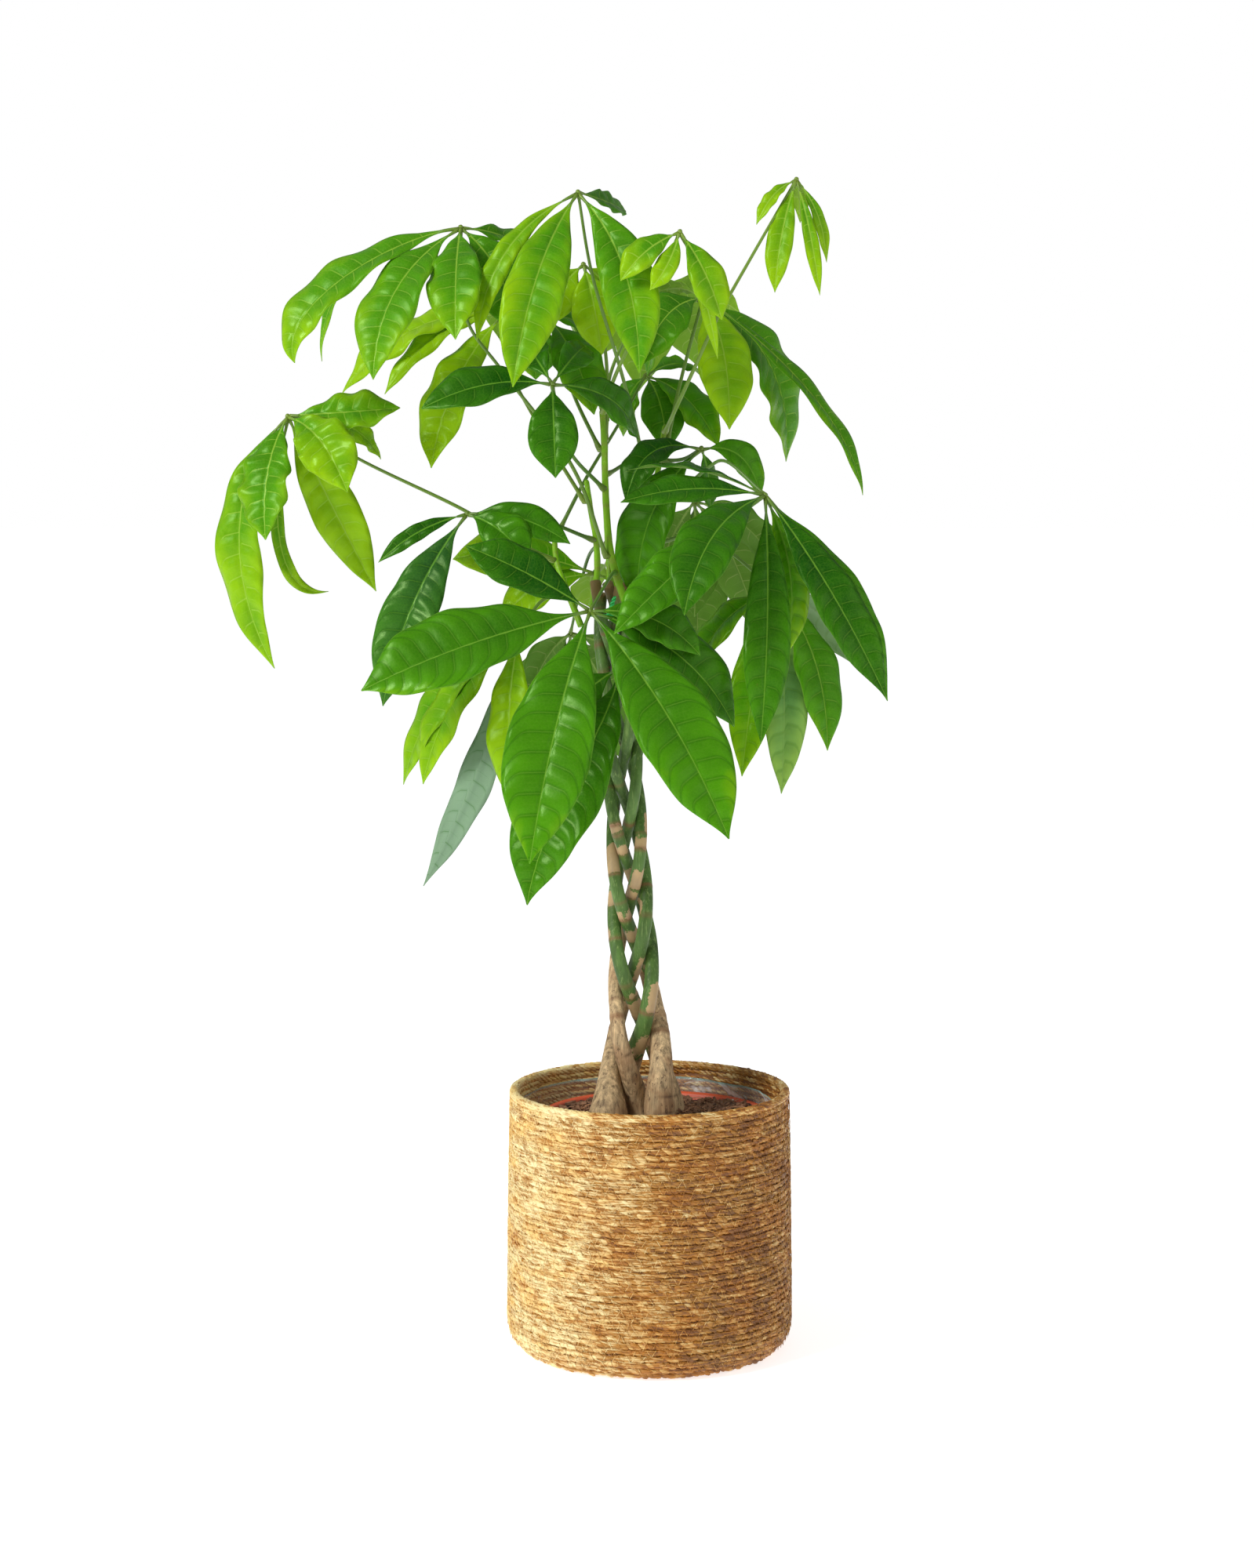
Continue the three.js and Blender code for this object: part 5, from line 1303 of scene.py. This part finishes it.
class MONEYTREE_OT_liner(bpy.types.Operator):
    """Build the loose film inside the basket."""
    bl_idname = "moneytree.liner"
    bl_label = "Build Liner"
    bl_options = {"REGISTER", "UNDO"}

    def execute(self, context):
        heights = [24, 70, 120, 140, 155, 165, 173, 179, 184]
        base, draw_in, edge = self.radius(14) - 9, 2, self.radius(LINER_TOP)
        outer = [(self.radius(z), z) for z in heights] + [(edge - draw_in, LINER_TOP)]
        inner = [(edge - LINER_WALL - draw_in, LINER_TOP + 0.3)]
        inner += [(self.radius(z) - LINER_WALL, z) for z in reversed(heights)]
        floor = LINER_FOOT + 0.55
        profile = [(0, LINER_FOOT), (base, LINER_FOOT), *outer, *inner, (base - 0.4, floor), (0, floor)]
        material = film_finish(context.scene.pot_settings)
        film = piece_from("liner_film", *turned_skin(profile, 192, self.sway), [material])
        hand_over(film, "film", "liner")
        return {"FINISHED"}

    @staticmethod
    def radius(height):
        """Radius of the film where it lies against the basket."""
        return basket_radius(max(height, 14)) - BASKET_WALL - LINER_GAP

    @staticmethod
    def sway(angle, height):
        """How far the film's folds leave the basket."""
        loose = np.clip((height - LINER_LOOSE_FROM) / (LINER_TOP - LINER_LOOSE_FROM), 0, 1)
        folds = sum(np.sin(angle * turns + start) * size for turns, start, size in
                    ((5, 0.4, 0.7), (11, 1.9, 0.5), (23, 0.8, 0.3), (37, 2.6, 0.15)))
        # at the right and the back it sags towards the pot
        away = np.angle(np.exp(1j * (angle - 0.7)))
        sag = 6 * np.exp(-(away / 0.8)**2) * (1 + 0.3 * np.sin(9 * angle)) * loose**2
        return -np.abs(folds) * 1.3 * loose - sag


class MONEYTREE_OT_pot(bpy.types.Operator):
    """Build the nursery pot."""
    bl_idname = "moneytree.pot"
    bl_label = "Build Pot"
    bl_options = {"REGISTER", "UNDO"}

    def execute(self, context):
        foot, floor, lip = POT_TOP - POT_LIP_HEIGHT, POT_BOTTOM + 2, POT_RIM_RADIUS
        top, base = pot_radius(POT_TOP), pot_radius(POT_BOTTOM)
        profile = [(0, POT_BOTTOM), (36, POT_BOTTOM), (40, POT_BOTTOM + 0.6), (48, POT_BOTTOM + 0.6),
                   (52, POT_BOTTOM), (base - 1, POT_BOTTOM), (base, 8.8), (pot_radius(90), 90),
                   (pot_radius(91), 91), (pot_radius(foot), foot), (lip - 0.9, foot), (lip - 0.2, foot + 0.5),
                   (lip, foot + 1.6), (lip, POT_TOP - 2), (lip - 0.3, POT_TOP - 0.8), (lip - 1.2, POT_TOP),
                   (top + 1, POT_TOP), (top - 0.6, POT_TOP - 0.4), (top - POT_WALL, POT_TOP - 1.8),
                   (pot_radius(floor) - POT_WALL, floor), (0, floor)]
        points, faces = turned_skin(profile, 128)
        material = plain_finish("terracotta plastic", context.scene.pot_settings.pot_colour, 0.42, 0.12, 25)
        pot = piece_from("nursery_pot_shell", np.array(points) + [POT_SHIFT, 0, 0], faces, [material])
        hand_over(pot, "terracotta_plastic", "nursery_pot")
        return {"FINISHED"}


class MONEYTREE_OT_soil(bpy.types.Operator):
    """Build the potting mix: a dark bed with bark chips and a few white grains on it."""
    bl_idname = "moneytree.soil"
    bl_label = "Build Soil"
    bl_options = {"REGISTER", "UNDO"}

    def execute(self, context):
        settings = context.scene.pot_settings
        edge = pot_radius(SOIL_TOP) - POT_WALL - 0.8
        rings, sides = 34, 120
        points = [[0, 0, self.height(0, 0)]]
        for radius in np.linspace(2, edge, rings):
            for turn in around(sides):
                x, y = radius * math.cos(turn), radius * math.sin(turn)
                points.append([x, y, self.height(x, y)])
        for height, radius in ((SOIL_TOP - 8, edge - 0.6), (POT_BOTTOM + 4, pot_radius(12) - POT_WALL - 1)):
            points += [[radius * math.cos(turn), radius * math.sin(turn), height] for turn in around(sides)]
        points = np.array([*points, [0, 0, POT_BOTTOM + 3]])
        # its rings run down from the top, so its faces are turned over
        faces = [(face[0], *face[:0:-1]) for face in poled_faces(rings + 2, sides)]
        soil = plain_finish("potting soil", settings.soil_colour, 0.95, 0.5, 160, 0.001)
        bed = piece_from("soil_bed", points + [POT_SHIFT, 0, 0], faces, [soil])
        hand_over(bed, "potting_mix", "soil")

        # the open surface between the stems, a little inside the pot's wall
        top = points[:1 + rings * sides] * [0.955, 0.955, 1] + [POT_SHIFT, 0, 0]
        free = [0 if self.in_stem(x, y) else 1 for x, y, _ in top]
        skin = [face for face in faces if max(face) < len(top)]
        tree = scatter_tree()
        chips = plain_finish("bark chips", settings.chip_colour, 0.85, 0.75, 90, 0.0006)
        fibre = plain_finish("coir fibre", settings.fibre_colour, 0.8, 0.6, 70)
        grit = plain_finish("white grit", (0.85, 0.82, 0.75), 0.8, 0.05)
        for step, (name, thinned, values) in enumerate((
                ("soil_chips", 1, {"Length": 6.6, "Width": 3.5, "Thickness": 1.5, "Tilt": 0.6, "Lift": 2.2,
                                   "Sides": 5, "Finish": chips}),
                ("soil_fibres", 3, {"Length": 9, "Width": 0.7, "Thickness": 0.6, "Tilt": 0.35, "Lift": 3,
                                    "Sides": 4, "Finish": fibre}),
                ("soil_grit", 40, {"Length": 1.6, "Width": 1.3, "Thickness": 1.2, "Tilt": 0.8, "Lift": 2.6,
                                   "Sides": 6, "Finish": grit}))):
            guide = piece_from("open soil", top, skin, [soil], numbers={"open": free})
            values = {**in_metres(values), "Density": settings.chip_density / thinned,
                      "Seed": context.scene.studio_settings.seed + step}
            hand_over(apply_tree(name, guide, tree, values), "potting_mix", "soil")
        return {"FINISHED"}

    @staticmethod
    def height(x, y):
        """Height of the chunky mix."""
        swell = 2.2 * math.sin(x / 21 + 0.6) * math.cos(y / 17)
        swell += 4 * math.exp(-((x - 58)**2 + (y - 18)**2) / 900)
        lumps = 1.3 * math.sin(x / 5.1 + y / 7.3) * math.sin(y / 4.3 - x / 9.7)
        rough = 1.1 * noise.noise(Vector((x / 4, y / 4, 3)))
        rough += 0.6 * noise.noise(Vector((x / 1.7, y / 1.7, 9)))
        return SOIL_TOP + swell + lumps + rough

    @staticmethod
    def in_stem(x, y):
        """Whether a place lies inside one of the bulbs."""
        for _, place, bulb, slimming, *_ in STEMS:
            centre = stem_centre(place, SOIL_TOP)
            if math.hypot(x - centre[0], y - centre[1]) < stem_radius(bulb, slimming, SOIL_TOP) + 1:
                return True
        return False


class MONEYTREE_OT_stage(bpy.types.Operator):
    """Build the white studio round the plant."""
    bl_idname = "moneytree.stage"
    bl_label = "Build Stage"
    bl_options = {"REGISTER", "UNDO"}

    def execute(self, context):
        scene, settings = context.scene, context.scene.studio_settings
        bpy.ops.mesh.primitive_plane_add(size=40)
        floor = context.active_object
        floor.name = "floor"
        paint = bpy.data.materials.new("floor paint")
        paint.use_nodes = True
        sockets = paint.node_tree.nodes["Principled BSDF"].inputs
        for name, value in (("Base Color", (0.93, 0.93, 0.93, 1)), ("Roughness", 0.7),
                            ("Emission Color", (1, 1, 1, 1)), ("Emission Strength", settings.floor_glow)):
            sockets[name].default_value = value
        floor.data.materials.append(paint)
        scene.world = bpy.data.worlds.new("white room")
        scene.world.use_nodes = True
        room = Net(scene.world.node_tree)
        back = room.tree.nodes["Background"]
        room.fill(back.inputs["Color"], (1, 1, 1, 1))
        # the walls look white, and light the plant less than that
        seen = room.value("ShaderNodeLightPath", output="Is Camera Ray")
        room.fill(back.inputs["Strength"], seen.between(0.0, 1.0, settings.room_light, 1.0))
        plant = Vector((0, 0, 0.45))
        for name, power, size, place in (("key", settings.key_power, 0.9, (-2.0, -1.6, 2.2)),
                                         ("fill", settings.fill_power, 1.6, (2.1, -1.4, 1.2))):
            light = bpy.data.lights.new(name, "AREA")
            light.energy, light.size = power, size
            lamp = link_object(name, light)
            lamp.location = place
            lamp.rotation_euler = (plant - Vector(place)).to_track_quat("-Z", "Y").to_euler()
        camera = bpy.data.cameras.new("camera")
        camera.sensor_fit, camera.sensor_height, camera.lens = "VERTICAL", 36, settings.lens
        camera.shift_y = settings.lens_shift
        scene.camera = link_object("camera", camera)
        scene.camera.location = settings.eye
        scene.camera.rotation_euler = (math.pi / 2 - settings.pitch, 0, 0)
        scene.view_settings.view_transform = "Standard"
        return {"FINISHED"}


OPERATORS = [MONEYTREE_OT_basket, MONEYTREE_OT_liner, MONEYTREE_OT_pot, MONEYTREE_OT_soil, MONEYTREE_OT_stems,
             MONEYTREE_OT_tie, MONEYTREE_OT_shoots, MONEYTREE_OT_leaves, MONEYTREE_OT_stage]


class MONEYTREE_PT_panel(bpy.types.Panel):
    """Lists what can be built."""
    bl_label = "Money Tree"
    bl_idname = "MONEYTREE_PT_panel"
    bl_space_type = "VIEW_3D"
    bl_region_type = "UI"
    bl_category = "Money Tree"

    def draw(self, context):
        for operator in OPERATORS:
            self.layout.operator(operator.bl_idname)
        for name, kind in SETTINGS.items():
            box = self.layout.box()
            for field in kind.__annotations__:
                box.prop(getattr(context.scene, name), field)


def register():
    for kind in [*SETTINGS.values(), *OPERATORS, MONEYTREE_PT_panel]:
        bpy.utils.register_class(kind)
    for name, kind in SETTINGS.items():
        setattr(bpy.types.Scene, name, PointerProperty(type=kind))


def unregister():
    for name in SETTINGS:
        delattr(bpy.types.Scene, name)
    for kind in reversed([*SETTINGS.values(), *OPERATORS, MONEYTREE_PT_panel]):
        bpy.utils.unregister_class(kind)


def main():
    """Builds the plant and its stage."""
    register()
    bpy.ops.moneytree.basket()
    bpy.ops.moneytree.liner()
    bpy.ops.moneytree.pot()
    bpy.ops.moneytree.soil()
    bpy.ops.moneytree.stems()
    bpy.ops.moneytree.tie()
    bpy.ops.moneytree.shoots()
    bpy.ops.moneytree.leaves()
    bpy.ops.moneytree.stage()


if __name__ == "__main__":
    main()
